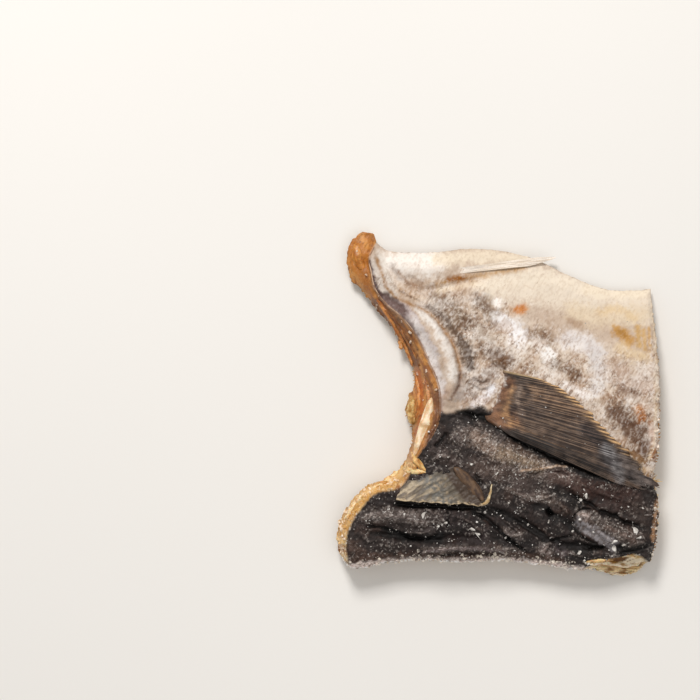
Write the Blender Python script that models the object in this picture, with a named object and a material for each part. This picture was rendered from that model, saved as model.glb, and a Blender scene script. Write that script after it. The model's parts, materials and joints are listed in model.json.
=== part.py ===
"""Head-end cutlet of a dried, salted saithe, lying on its flesh side with the skin up.

The piece is one solid: the flank from belly margin to back, the rolled skin round the gill opening, the flesh
that the head was cut from, the pectoral and pelvic fins dried flat onto the skin, a dried flap of gill
membrane, and salt flakes. Sizes are in millimetres, turned to metres where the meshes are made. The head end is
towards -X, the belly towards +Y, and the skin faces +Z. The origin is at the middle of the underside.
"""

import math

import bmesh
import bpy
import numpy as np
from mathutils import Euler, Vector, geometry, noise

MM = 0.001

# ---------------------------------------------------------------------------------------------------------
# Outline, seen from above: four edges, each a smooth curve through the corners and turns of the real piece
# ---------------------------------------------------------------------------------------------------------
HEAD_EDGE = (  # from the throat down the gill opening to the nape
    (-44.6, 56.0), (-48.2, 53.0), (-49.6, 47.5), (-48.6, 41.5), (-44.4, 36.6), (-40.1, 31.2), (-36.6, 27.0),
    (-31.6, 20.0), (-28.2, 12.6), (-27.5, 6.0), (-29.6, 2.0), (-30.2, -2.6), (-28.2, -8.0), (-28.8, -14.4),
    (-32.4, -21.6), (-37.4, -24.9), (-44.4, -27.9), (-50.2, -34.6), (-52.8, -42.4), (-51.6, -49.4),
    (-48.2, -52.8),
)
BACK_EDGE = (  # from the nape along the middle of the back
    (-48.2, -52.8), (-44.2, -52.6), (-36.4, -50.9), (-25.2, -50.2), (-10.4, -50.9), (1.6, -50.2),
    (18.1, -52.4), (31.8, -54.2), (40.2, -56.0), (46.2, -53.8), (48.9, -50.4),
)
CUT_EDGE = (  # the saw cut towards the tail, from back to belly
    (48.9, -50.4), (50.2, -45.0), (50.9, -37.6), (50.7, -30.6), (49.4, -23.4), (50.9, -15.0), (51.4, -4.4),
    (51.7, 6.0), (51.1, 17.0), (49.9, 29.0), (49.4, 37.4),
)
BELLY_MARGIN = (  # from the tail end back to the throat
    (49.4, 37.4), (44.6, 36.8), (34.0, 37.4), (21.3, 42.4), (11.6, 47.1), (0.3, 49.8), (-10.7, 50.4),
    (-20.2, 49.4), (-29.6, 49.2), (-36.4, 49.9), (-40.0, 52.4), (-41.2, 55.2), (-44.6, 56.0),
)
# Where the skin stops short of the flesh: along the gill opening and nape, and at the back's tail corner
GILL_LIP = (
    (-39.0, 54.6), (-42.4, 47.6), (-41.9, 43.2), (-40.6, 37.6), (-36.9, 32.4), (-33.2, 29.4), (-29.4, 25.3),
    (-26.1, 20.4), (-22.9, 13.4), (-20.4, 7.7), (-19.4, 2.0), (-19.8, -5.0), (-22.6, -11.0), (-26.8, -17.0),
    (-29.2, -22.4), (-32.4, -27.2), (-40.2, -29.0), (-44.4, -33.2), (-48.0, -38.6), (-49.8, -45.0),
    (-48.6, -55.0),
)
LOIN_LIP = (
    (24.0, -56.0), (28.6, -52.6), (33.8, -50.5), (38.8, -49.6), (43.2, -48.5), (46.4, -49.7), (50.4, -53.2),
)

# ---------------------------------------------------------------------------------------------------------
# Thickness
# ---------------------------------------------------------------------------------------------------------
THICKNESS = (  # share of the way from belly margin to back, height of the skin above the table
    (0.0, 4.0), (0.05, 6.2), (0.2, 9.4), (0.4, 12.0), (0.6, 13.2), (0.82, 13.0), (0.95, 11.6), (1.0, 9.6),
)
HEAD_SHARE = 1.06
TAIL_SHARE = 0.92
LENGTH_HALF = 53.0
FLESH_RIM_HEIGHT = 3.6
FLESH_STEP = 1.3
LEDGE_HEIGHT = 5.4
EDGE_ROUND = 1.1

# Folds of the skin: height (a groove is negative), half width, and the line that each follows
FOLDS = (
    # rolled skin behind the gill opening, and the crease on its tail side
    (3.1, 3.2, ((-36.5, 33.6), (-31.0, 30.0), (-25.4, 25.8), (-20.8, 20.4), (-17.6, 14.4), (-16.2, 8.0),
                (-16.6, 2.4), (-18.4, -2.4))),
    (-1.6, 1.0, ((-33.8, 34.1), (-28.9, 32.5), (-24.7, 30.5), (-21.5, 28.3), (-17.9, 23.7), (-14.6, 17.9),
                 (-13.3, 12.7), (-12.8, 9.0), (-13.3, 6.0), (-15.6, 2.0))),
    # full belly by the throat, and the hollow that the pelvic fin lies in
    (1.5, 3.6, ((-37.0, 46.4), (-29.0, 45.4), (-21.0, 44.2), (-12.0, 45.4))),
    (-1.2, 1.6, ((-33.2, 43.6), (-29.0, 40.2), (-24.0, 37.2), (-18.0, 37.6), (-12.0, 39.4), (-2.0, 42.0))),
    (1.0, 2.4, ((-39.4, 44.0), (-36.6, 38.4), (-30.6, 35.6))),
    # shoulder muscle behind the roll
    (0.9, 6.0, ((-8.0, 26.0), (-4.0, 14.0), (-6.0, 4.0))),
    (-0.8, 2.2, ((-10.4, 8.0), (-6.4, 3.6), (-10.0, 0.2))),
    # the back swelling below the pectoral fin
    (1.3, 3.6, ((-20.0, -11.0), (-8.0, -10.6), (4.0, -17.4), (18.0, -23.6), (30.0, -28.6))),
    # long wrinkles of the back
    (1.4, 1.8, ((-46.0, -37.6), (-38.0, -36.2), (-28.0, -36.0), (-16.0, -37.8))),
    (-1.6, 1.2, ((-44.0, -41.6), (-34.0, -42.6), (-24.0, -44.2), (-13.0, -43.4), (-2.0, -44.6))),
    (0.9, 1.3, ((-30.0, -47.2), (-15.0, -46.6), (0.0, -46.8), (13.0, -48.6))),
    (-1.4, 1.5, ((-7.0, -33.0), (4.0, -37.4), (14.0, -43.0), (24.0, -48.4))),
    (1.4, 2.2, ((24.0, -34.6), (30.0, -37.6), (38.0, -42.0), (47.0, -44.6))),
    (-1.2, 1.1, ((19.0, -45.2), (30.0, -46.4), (42.0, -46.6))),
    (-1.0, 1.5, ((8.0, -31.2), (16.0, -35.2), (28.0, -41.6))),
    # the end of the shoulder bone, bare between the flesh and the skin
    (1.5, 1.1, ((-21.8, -1.6), (-24.0, -8.6), (-26.6, -15.6))),
)
# crease under the pectoral fin, which bridges it
FIN_CREASE = (-1.7, 1.1, ((-15.0, -3.2), (-7.4, -3.8), (-1.0, -6.2), (7.0, -12.2), (22.0, -19.0), (37.0, -24.6)))

# ---------------------------------------------------------------------------------------------------------
# Underside: flat where it rests, lifting a little towards its edges
# ---------------------------------------------------------------------------------------------------------
FLAT_CENTRE = (3.0, -8.0)
FLAT_HALF = (30.0, 28.0)
EDGE_LIFT = 2.6
THINNEST = 0.45  # the underside stays below this share of the top's height

# Mesh spacings
TOP_SPACING = 2.05
UNDER_SPACING = 4.6
OUTLINE_SPACING = 1.9
WALL_ROWS = 4
CRAG_DEPTH = 0.45

# ---------------------------------------------------------------------------------------------------------
# What lies on the skin
# ---------------------------------------------------------------------------------------------------------
EMBED = 0.9  # how deep each of these is sunk where it is fused
# Pectoral fin: the root line, then the ends of its rays from first to last
PECTORAL_ROOT = ((-0.4, 11.3), (-1.7, 7.0), (-3.6, 2.2), (-4.9, -2.0), (-4.4, -5.4), (0.6, -9.0))
PECTORAL_ENDS = (
    (13.3, 8.2), (19.5, 5.2), (25.0, 1.4), (30.4, -3.8), (34.6, -8.4), (39.2, -13.4), (45.5, -19.5),
    (49.4, -24.7), (48.6, -27.2), (42.3, -26.9), (36.4, -25.2),
)
PECTORAL_RAYS = 20
PECTORAL_ROWS = 9
PECTORAL_LIFT = 1.1
PECTORAL_EMBED = 2.2  # deeper than the crease that the fin bridges
RAY_HEIGHT = 0.45
TIP_NOTCH = 1.3
PELVIC_ROOT = ((-18.2, 43.8), (-16.6, 39.8))
PELVIC_ENDS = ((12.4, 47.8), (18.4, 47.9), (16.0, 46.7), (9.6, 44.8))
PELVIC_RAYS = 4
PELVIC_ROWS = 12
PELVIC_LIFT = 0.6
FLAP_ROOT = ((-33.4, -28.7), (-30.2, -24.4), (-24.1, -21.8), (-18.9, -20.3), (-15.6, -19.6))
FLAP_ENDS = ((-33.9, -30.8), (-26.0, -31.6), (-17.9, -32.0), (-5.7, -32.6))
FLAP_LIFT = 1.2
FLAP_COLUMNS = 10
FLAP_ROWS = 4

# Salt flakes: the large ones by hand, the rest strewn over the dark back by a seeded draw
LARGE_FLAKES = (  # place, then size across
    (43.6, -40.8, 2.5), (44.8, -43.3, 2.0), (36.6, -44.2, 2.0), (37.0, -46.8, 2.5), (40.2, -45.4, 1.8),
    (25.4, -48.1, 1.8), (27.8, -29.4, 2.0), (25.8, -31.0, 1.8), (-17.6, -38.0, 1.8), (-25.0, -35.8, 2.0),
    (-9.4, -40.4, 1.8), (-7.3, -42.0, 1.8),
)
FLAKE_SIDES = 5
FLAKE_TAPER = 0.6  # top face's share of the foot
FLAKE_THICKNESS = 0.7  # share of its size
FLAKE_PROUD = 0.08
FLAKE_TILT = 0.4
FLAKE_GAP = 1.0
STREWN_FLAKES = 34
STREWN_SIZE = (0.9, 1.7)
STREWN_BOX = ((-44.0, 46.0), (-48.0, -28.0))
FLAKE_SEED = 7

# The frayed end of a rib that sticks out of the saw cut
FRAY_BASE = (48.6, -25.4)
FRAY_SPIKES = ((4.4, 2.0), (3.4, 42.0), (2.8, -48.0))  # length, angle
FRAY_RADIUS = 0.75
FRAY_TIP_RADIUS = 0.12
FRAY_SIDES = 6
FRAY_DEPTH = 2.0  # how far it starts inside the fish
FRAY_HEIGHT = 0.6  # share of the height there

SKIN_COLOUR = (0.125, 0.088, 0.068, 1.0)
SKIN_ROUGHNESS = 0.62


# ---------------------------------------------------------------------------------------------------------
# Curves and distances
# ---------------------------------------------------------------------------------------------------------
def smooth_curve(points, spacing):
    """Points about spacing apart on the Catmull-Rom curve through points."""
    given = np.array(points, float)
    padded = np.vstack([2 * given[0] - given[1], given, 2 * given[-1] - given[-2]])
    share = np.linspace(0, 1, 16, endpoint=False)[:, None]
    fine = []
    for before, start, end, after in zip(padded[:-3], padded[1:-2], padded[2:-1], padded[3:]):
        fine.append(
            start
            + 0.5 * share * (end - before)
            + share**2 * (before - 2.5 * start + 2 * end - 0.5 * after)
            + share**3 * (1.5 * (start - end) + 0.5 * (after - before))
        )
    fine = np.vstack(fine + [padded[-2:-1]])
    along = np.concatenate([[0], np.cumsum(np.linalg.norm(np.diff(fine, axis=0), axis=1))])
    count = max(2, round(along[-1] / spacing) + 1)
    even = np.linspace(0, along[-1], count)
    return np.column_stack([np.interp(even, along, fine[:, axis]) for axis in range(2)])


def outline():
    """The closed outline, anticlockwise, its last point one step before its first."""
    edges = [smooth_curve(edge, OUTLINE_SPACING) for edge in (HEAD_EDGE, BACK_EDGE, CUT_EDGE, BELLY_MARGIN)]
    return np.vstack([edge[:-1] for edge in edges])


def to_line(points, line):
    """Distance from each point to the line, the side it is on (+1 to the left), and its share along the line."""
    line = np.asarray(line, float)
    starts, steps = line[:-1], np.diff(line, axis=0)
    offset = points[:, None, :] - starts
    share = np.clip((offset * steps).sum(2) / (steps**2).sum(1), 0, 1)
    gap = offset - share[:, :, None] * steps
    distance = np.linalg.norm(gap, axis=2)
    best = distance.argmin(1)
    rows = np.arange(len(points))
    nearest_offset = gap[rows, best]
    nearest_step = steps[best]
    side = np.sign(nearest_step[:, 0] * nearest_offset[:, 1] - nearest_step[:, 1] * nearest_offset[:, 0])
    along = (best + share[rows, best]) / len(starts)
    return distance[rows, best], side, along


def inside(points, loop):
    """True for each point inside the closed loop."""
    x, y = points[:, :1], points[:, 1:]
    ax, ay = loop[:, 0], loop[:, 1]
    bx, by = np.roll(ax, -1), np.roll(ay, -1)
    crosses = (ay > y) != (by > y)
    reach = ax + (y - ay) * (bx - ax) / np.where(by == ay, 1e-9, by - ay)
    return (crosses & (x < reach)).sum(1) % 2 == 1


def step_up(value, low, high):
    """0 below low, 1 above high, and smooth between."""
    share = np.clip((value - low) / (high - low), 0, 1)
    return share * share * (3 - 2 * share)


def roughness(points, size, seed):
    """Smooth noise of about -1 to 1, with features of that size."""
    return np.array([noise.noise(Vector((x / size, y / size, seed))) for x, y in points])


# ---------------------------------------------------------------------------------------------------------
# Heights
# ---------------------------------------------------------------------------------------------------------
OUTLINE = outline()
LIP = smooth_curve(GILL_LIP, 1.5)
LOIN = smooth_curve(LOIN_LIP, 1.5)
BELLY = smooth_curve(BELLY_MARGIN, 2.0)[::-1]
BACK = smooth_curve(BACK_EDGE, 2.0)


ALL_FOLDS = (*FOLDS, FIN_CREASE)


def skin_height(points, folds=ALL_FOLDS):
    """Height of the skin over the table, with the folds."""
    x, y = points.T
    belly_y = np.interp(x, BELLY[:, 0], BELLY[:, 1])
    back_y = np.interp(x, BACK[:, 0], BACK[:, 1])
    breadth = np.clip((belly_y - y) / (belly_y - back_y), 0, 1)
    shares, heights = np.array(THICKNESS).T
    height = np.interp(breadth, shares, heights)
    height *= HEAD_SHARE + (TAIL_SHARE - HEAD_SHARE) * np.clip(x / LENGTH_HALF / 2 + 0.5, 0, 1)
    for rise, half_width, line in folds:
        distance, _, along = to_line(points, smooth_curve(line, 2.0))
        ends = step_up(along, 0, 0.18) * step_up(1 - along, 0, 0.18)
        height += rise * ends * np.exp(-((distance / half_width) ** 2))
    return height + 0.35 * roughness(points, 7.0, 3.1) + 0.2 * roughness(points, 3.2, 8.7)


def top_height(points, folds=ALL_FOLDS):
    """Height of the top, skin and bare flesh alike, over the table."""
    height = skin_height(points, folds)
    to_outline = to_line(points, np.vstack([OUTLINE, OUTLINE[:1]]))[0]
    height -= EDGE_ROUND * (1 - step_up(to_outline, 0, 2 * EDGE_ROUND)) ** 2
    from_lip, side, _ = to_line(points, LIP)
    rise = 1 - (1 - to_outline / (to_outline + from_lip + 1e-6)) ** 2
    bare = FLESH_RIM_HEIGHT + (height - FLESH_STEP - FLESH_RIM_HEIGHT) * rise
    bare += 0.5 * roughness(points, 2.6, 1.3) * step_up(to_outline, 0, 2)
    on_flesh = step_up(-side * from_lip, 0, 0.6)
    height += (bare - height) * on_flesh
    from_loin, side, _ = to_line(points, LOIN)
    ledge = LEDGE_HEIGHT * (0.45 + 0.55 * to_outline / (to_outline + from_loin + 1e-6))
    on_ledge = step_up(-side * from_loin, 0, 0.6)
    return height + (ledge - height) * on_ledge


def under_height(points):
    """Height of the underside over the table: nothing where it rests."""
    reach = np.linalg.norm((points - FLAT_CENTRE) / FLAT_HALF, axis=1)
    lift = EDGE_LIFT * step_up(reach, 1.0, 2.6)
    lift += (0.5 + 0.4 * roughness(points, 9.0, 5.5)) * step_up(reach, 1.0, 1.3)
    return np.minimum(lift, THINNEST * top_height(points))


# ---------------------------------------------------------------------------------------------------------
# Meshes
# ---------------------------------------------------------------------------------------------------------
def lattice(loop, spacing, margin):
    """Points of a triangular lattice inside the loop, at least margin from it."""
    low, high = loop.min(0), loop.max(0)
    rows = np.arange(low[1], high[1], spacing * math.sqrt(0.75))
    found = []
    for number, y in enumerate(rows):
        x = np.arange(low[0] + (number % 2) * spacing / 2, high[0], spacing)
        found.append(np.column_stack([x, np.full(len(x), y)]))
    found = np.vstack(found)
    far = to_line(found, np.vstack([loop, loop[:1]]))[0] > margin
    return found[far & inside(found, loop)]


def filled(loop, spacing, lines=(), bare=None):
    """(points, triangles) that fill the loop, whose own points come first, with edges along the given lines.

    Inside the bare loop, if there is one, no points are added.
    """
    points = [loop]
    edges = []
    free = lattice(loop, spacing, 0.55 * spacing)
    if bare is not None:
        free = free[~inside(free, bare)]
    for line in lines:
        near_edge = to_line(line, np.vstack([loop, loop[:1]]))[0]
        kept = line[inside(line, loop) & (near_edge > 0.4 * spacing)]
        free = free[to_line(free, kept)[0] > 0.45 * spacing]
        start = sum(map(len, points))
        edges += [(start + i, start + i + 1) for i in range(len(kept) - 1)]
        points.append(kept)
    points = np.vstack(points + [free])
    made = geometry.delaunay_2d_cdt([Vector(p) for p in points], edges, [list(range(len(loop)))], 1, 1e-6)
    return np.array([tuple(p) for p in made[0]]), [tuple(face) for face in made[2]]


def mesh_object(name, points, faces):
    """An object from points in millimetres, its faces turned outwards."""
    mesh = bpy.data.meshes.new(name)
    mesh.from_pydata([tuple(p) for p in np.asarray(points) * MM], [], [tuple(map(int, f)) for f in faces])
    work = bmesh.new()
    work.from_mesh(mesh)
    bmesh.ops.recalc_face_normals(work, faces=work.faces)
    work.to_mesh(mesh)
    work.free()
    made = bpy.data.objects.new(name, mesh)
    bpy.context.scene.collection.objects.link(made)
    return made


def offset_lines(line, away):
    """The line's two edges, that far to its left and right."""
    step = np.gradient(line, axis=0)
    normal = np.column_stack([-step[:, 1], step[:, 0]]) / np.linalg.norm(step, axis=1)[:, None]
    return line + away * normal, line - away * normal


def flank():
    """The fish itself: top and underside filled inside the outline, joined by a craggy wall."""
    lip_top, lip_foot = offset_lines(LIP, 0.3)
    loin_top, loin_foot = offset_lines(LOIN, 0.3)
    top, top_faces = filled(OUTLINE, TOP_SPACING, (lip_top, lip_foot, loin_top, loin_foot))
    around = len(OUTLINE)
    outward = np.roll(OUTLINE, -1, axis=0) - np.roll(OUTLINE, 1, axis=0)
    outward = np.column_stack([outward[:, 1], -outward[:, 0]]) / np.linalg.norm(outward, axis=1)[:, None]
    foot = OUTLINE - 0.8 * outward
    turn = np.radians(np.arange(0, 361, 10))
    flat_rim = FLAT_CENTRE + np.column_stack([np.cos(turn), np.sin(turn)]) * FLAT_HALF
    under, under_faces = filled(foot, UNDER_SPACING, (flat_rim,), flat_rim[:-1])
    points = [np.column_stack([top, top_height(top)])]
    crown, base = top_height(OUTLINE), under_height(foot)
    for row in range(1, WALL_ROWS):
        share = row / WALL_ROWS
        crag = CRAG_DEPTH * roughness(OUTLINE + 31.0 * row, 2.4, 2.2)
        swell = 0.5 * math.sin(math.pi * share)
        ring = OUTLINE + outward * (crag + swell - 0.8 * share)[:, None]
        points.append(np.column_stack([ring, crown + (base - crown) * share]))
    points.append(np.column_stack([under, under_height(under)]))
    rings = [np.arange(around)]
    rings += [len(top) + row * around + np.arange(around) for row in range(WALL_ROWS)]
    faces = list(top_faces)
    for upper, lower in zip(rings, rings[1:]):
        for i in range(around):
            j = (i + 1) % around
            faces.append((upper[i], lower[i], lower[j], upper[j]))
    first_under = rings[-1][0]
    faces += [tuple(first_under + i for i in face[::-1]) for face in under_faces]
    return mesh_object("cutlet", np.vstack(points), faces)


def draped_fan(name, root, ends, columns, rows, lift, embed=EMBED, ridge=0.0, notch=0.0):
    """A thin fan sunk into the skin: rays run from the root line to the ends line, with raised ray backs."""
    root = smooth_curve(root, 0.2)
    ends = smooth_curve(ends, 0.2)
    top, under = [], []
    for column in range(columns):
        across = column / (columns - 1)
        start = root[round(across * (len(root) - 1))]
        end = ends[round(across * (len(ends) - 1))]
        on_ray = column % 2 == 1
        length = np.linalg.norm(end - start)
        reach = 1 + (notch / length if on_ray else 0)
        for row in range(rows):
            along = row / (rows - 1)
            place = start + (end - start) * along * reach
            ground = float(top_height(place[None], FOLDS)[0])
            rise = lift * (0.35 + 0.65 * min(1, 3 * along)) + (ridge if on_ray else 0)
            top.append((*place, ground + rise))
            under.append((*place, ground - embed))
    count = len(top)
    faces = []
    for column in range(columns - 1):
        for row in range(rows - 1):
            a = column * rows + row
            quad = (a, a + 1, a + rows + 1, a + rows)
            faces += [quad, tuple(count + i for i in quad[::-1])]
    rim = list(range(rows))
    rim += [column * rows + rows - 1 for column in range(1, columns)]
    rim += [(columns - 1) * rows + row for row in range(rows - 2, -1, -1)]
    rim += [column * rows for column in range(columns - 2, 0, -1)]
    for a, b in zip(rim, rim[1:] + rim[:1]):
        faces.append((a, b, count + b, count + a))
    return mesh_object(name, top + under, faces)


def salt_flake(number, x, y, size, random):
    """A squat crystal, half sunk in the skin."""
    work = bmesh.new()
    radius = size * MM / 2
    bmesh.ops.create_cone(
        work, cap_ends=True, segments=FLAKE_SIDES, radius1=radius, radius2=FLAKE_TAPER * radius,
        depth=FLAKE_THICKNESS * size * MM,
    )
    tilts = [random.uniform(-FLAKE_TILT, FLAKE_TILT) for _ in range(2)]
    turn = Euler((*tilts, random.uniform(0, math.tau)))
    bmesh.ops.rotate(work, matrix=turn.to_matrix(), verts=work.verts)
    ground = float(top_height(np.array([[x, y]]))[0])
    bmesh.ops.translate(work, vec=Vector((x, y, ground + FLAKE_PROUD * size)) * MM, verts=work.verts)
    mesh = bpy.data.meshes.new(f"flake_{number}")
    work.to_mesh(mesh)
    work.free()
    made = bpy.data.objects.new(mesh.name, mesh)
    bpy.context.scene.collection.objects.link(made)
    return made


def salt_flakes():
    random = np.random.default_rng(FLAKE_SEED)
    spots = list(LARGE_FLAKES)
    while len(spots) < len(LARGE_FLAKES) + STREWN_FLAKES:
        x, y = (random.uniform(*side) for side in STREWN_BOX)
        size = random.uniform(*STREWN_SIZE)
        if min(math.hypot(x - a, y - b) - (size + c) / 2 for a, b, c in spots) > FLAKE_GAP:
            if inside(np.array([[x, y]]), OUTLINE)[0]:
                spots.append((x, y, size))
    return [salt_flake(number, *spot, random) for number, spot in enumerate(spots)]


def frayed_rib():
    """Spikes that fan out of the saw cut."""
    made = []
    ground = FRAY_HEIGHT * float(top_height(np.array([FRAY_BASE]))[0])
    for number, (length, angle) in enumerate(FRAY_SPIKES):
        work = bmesh.new()
        depth = (length + FRAY_DEPTH) * MM
        bmesh.ops.create_cone(
            work, cap_ends=True, segments=FRAY_SIDES, radius1=FRAY_RADIUS * MM, radius2=FRAY_TIP_RADIUS * MM,
            depth=depth,
        )
        bmesh.ops.translate(work, vec=(0, 0, depth / 2 - FRAY_DEPTH * MM), verts=work.verts)
        turn = Euler((0, math.radians(90), math.radians(angle)))
        bmesh.ops.rotate(work, matrix=turn.to_matrix(), verts=work.verts)
        place = Vector((FRAY_BASE[0], FRAY_BASE[1], ground)) * MM
        bmesh.ops.translate(work, vec=place, verts=work.verts)
        mesh = bpy.data.meshes.new(f"spike_{number}")
        work.to_mesh(mesh)
        work.free()
        spike = bpy.data.objects.new(mesh.name, mesh)
        bpy.context.scene.collection.objects.link(spike)
        made.append(spike)
    return made


def fused(body, others):
    """Joins the others to the body by one Boolean union, applied, and removes them."""
    group = bpy.data.collections.new("to_fuse")
    bpy.context.scene.collection.children.link(group)
    for other in others:
        group.objects.link(other)
        bpy.context.scene.collection.objects.unlink(other)
    union = body.modifiers.new("fuse", "BOOLEAN")
    union.operation = "UNION"
    union.operand_type = "COLLECTION"
    union.collection = group
    union.solver = "EXACT"
    graph = bpy.context.evaluated_depsgraph_get()
    joined = bpy.data.meshes.new_from_object(body.evaluated_get(graph))
    body.modifiers.clear()
    body.data = joined
    for other in others:
        bpy.data.objects.remove(other)
    bpy.data.collections.remove(group)
    return body


def dried_skin():
    """Dull, leathery brown-black skin."""
    material = bpy.data.materials.new("dried_skin")
    material.use_nodes = True
    shader = material.node_tree.nodes["Principled BSDF"]
    shader.inputs["Base Color"].default_value = SKIN_COLOUR
    shader.inputs["Roughness"].default_value = SKIN_ROUGHNESS
    shader.inputs["Metallic"].default_value = 0.0
    return material


def main():
    for old in list(bpy.data.objects):
        bpy.data.objects.remove(old)
    body = flank()
    pectoral = draped_fan(
        "pectoral", PECTORAL_ROOT, PECTORAL_ENDS, 2 * PECTORAL_RAYS + 1, PECTORAL_ROWS, PECTORAL_LIFT,
        PECTORAL_EMBED, RAY_HEIGHT, TIP_NOTCH,
    )
    pelvic = draped_fan(
        "pelvic", PELVIC_ROOT, PELVIC_ENDS, 2 * PELVIC_RAYS + 1, PELVIC_ROWS, PELVIC_LIFT, EMBED, RAY_HEIGHT,
        TIP_NOTCH,
    )
    flap = draped_fan("flap", FLAP_ROOT, FLAP_ENDS, FLAP_COLUMNS, FLAP_ROWS, FLAP_LIFT)
    fused(body, [pectoral, pelvic, flap, *frayed_rib(), *salt_flakes()])
    body.data.materials.clear()
    body.data.materials.append(dried_skin())
    body.data.shade_smooth()
    body.data.set_sharp_from_angle(angle=math.radians(40))


main()
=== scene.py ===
"""Looks of a dried, salted saithe cutlet that lies on its flesh side, skin up.

The frame's one solid gives the form. Here the fish gets its finely wrinkled skin and torn, sawn
flesh, the fins their rays and webs, and the back its salt. The head end is towards -X, the belly
towards +Y. Sizes in the constants are millimetres; meshes are in metres. Run it with Blender; it
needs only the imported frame.
"""

import json
import math
import bmesh
import bpy
import numpy as np
from mathutils import Matrix, Vector, geometry, noise

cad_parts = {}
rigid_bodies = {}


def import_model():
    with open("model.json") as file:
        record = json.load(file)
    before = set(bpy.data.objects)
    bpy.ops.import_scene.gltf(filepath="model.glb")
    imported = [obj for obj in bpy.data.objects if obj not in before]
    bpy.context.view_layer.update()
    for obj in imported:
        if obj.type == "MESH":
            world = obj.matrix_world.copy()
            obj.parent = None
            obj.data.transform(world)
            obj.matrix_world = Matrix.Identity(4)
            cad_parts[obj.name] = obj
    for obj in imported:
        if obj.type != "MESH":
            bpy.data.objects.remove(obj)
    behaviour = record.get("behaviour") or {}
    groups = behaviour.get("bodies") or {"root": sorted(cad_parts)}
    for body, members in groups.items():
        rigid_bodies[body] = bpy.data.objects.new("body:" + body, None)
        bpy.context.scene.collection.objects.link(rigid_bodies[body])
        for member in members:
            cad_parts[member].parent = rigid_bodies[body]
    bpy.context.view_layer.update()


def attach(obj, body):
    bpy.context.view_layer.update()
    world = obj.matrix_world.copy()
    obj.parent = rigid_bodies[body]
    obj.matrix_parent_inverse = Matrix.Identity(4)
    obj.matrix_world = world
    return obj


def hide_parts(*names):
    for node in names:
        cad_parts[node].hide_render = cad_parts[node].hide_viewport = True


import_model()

bl_info = {
    "name": "Dried Salt Fish Cutlet",
    "version": (1, 0, 0),
    "blender": (4, 5, 0),
    "location": "View3D > Sidebar > Salt Fish",
    "description": "Dresses the solid of a dried, salted cutlet: skin, flesh, fins and salt",
    "category": "Object",
}

MM = 0.001
BODY = "root"
NODE = "cutlet"

# ---- Form: the same outline, lips, thickness and folds as the solid's ----
HEAD_EDGE = (  # from the throat down the gill opening to the nape
    (-44.6, 56), (-48.2, 53), (-49.6, 47.5), (-48.6, 41.5), (-44.4, 36.6), (-40.1, 31.2), (-36.6, 27),
    (-31.6, 20), (-28.2, 12.6), (-27.5, 6), (-29.6, 2), (-30.2, -2.6), (-28.2, -8), (-28.8, -14.4),
    (-32.4, -21.6), (-37.4, -24.9), (-44.4, -27.9), (-50.2, -34.6), (-52.8, -42.4), (-51.6, -49.4),
    (-48.2, -52.8),
)
BACK_EDGE = (  # from the nape along the middle of the back
    (-48.2, -52.8), (-44.2, -52.6), (-36.4, -50.9), (-25.2, -50.2), (-10.4, -50.9), (1.6, -50.2),
    (18.1, -52.4), (31.8, -54.2), (40.2, -56), (46.2, -53.8), (48.9, -50.4),
)
CUT_EDGE = (  # the saw cut towards the tail, from back to belly
    (48.9, -50.4), (50.2, -45), (50.9, -37.6), (50.7, -30.6), (49.4, -23.4), (50.9, -15), (51.4, -4.4),
    (51.7, 6), (51.1, 17), (49.9, 29), (49.4, 37.4),
)
BELLY_MARGIN = (  # from the tail end back to the throat
    (49.4, 37.4), (44.6, 36.8), (34, 37.4), (21.3, 42.4), (11.6, 47.1), (0.3, 49.8), (-10.7, 50.4),
    (-20.2, 49.4), (-29.6, 49.2), (-36.4, 49.9), (-40, 52.4), (-41.2, 55.2), (-44.6, 56),
)
GILL_LIP = (  # where the skin stops short of the flesh along the gill opening and nape
    (-39, 54.6), (-42.4, 47.6), (-41.9, 43.2), (-40.6, 37.6), (-36.9, 32.4), (-33.2, 29.4), (-29.4, 25.3),
    (-26.1, 20.4), (-22.9, 13.4), (-20.4, 7.7), (-19.4, 2), (-19.8, -5), (-22.6, -11), (-26.8, -17),
    (-29.2, -22.4), (-32.4, -27.2), (-40.2, -29), (-44.4, -33.2), (-48, -38.6), (-49.8, -45),
    (-48.6, -55),
)
LOIN_LIP = (  # the same at the back's tail corner
    (24, -56), (28.6, -52.6), (33.8, -50.5), (38.8, -49.6), (43.2, -48.5), (46.4, -49.7), (50.4, -53.2),
)
THICKNESS = (  # share of the way from belly margin to back, height of the skin above the table
    (0, 4), (0.05, 6.2), (0.2, 9.4), (0.4, 12), (0.6, 13.2), (0.82, 13), (0.95, 11.6), (1, 9.6),
)
HEAD_SHARE = 1.06
TAIL_SHARE = 0.92
LENGTH_HALF = 53
FLESH_RIM_HEIGHT = 3.6
FLESH_STEP = 1.3
LEDGE_HEIGHT = 5.4
EDGE_ROUND = 1.1
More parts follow.
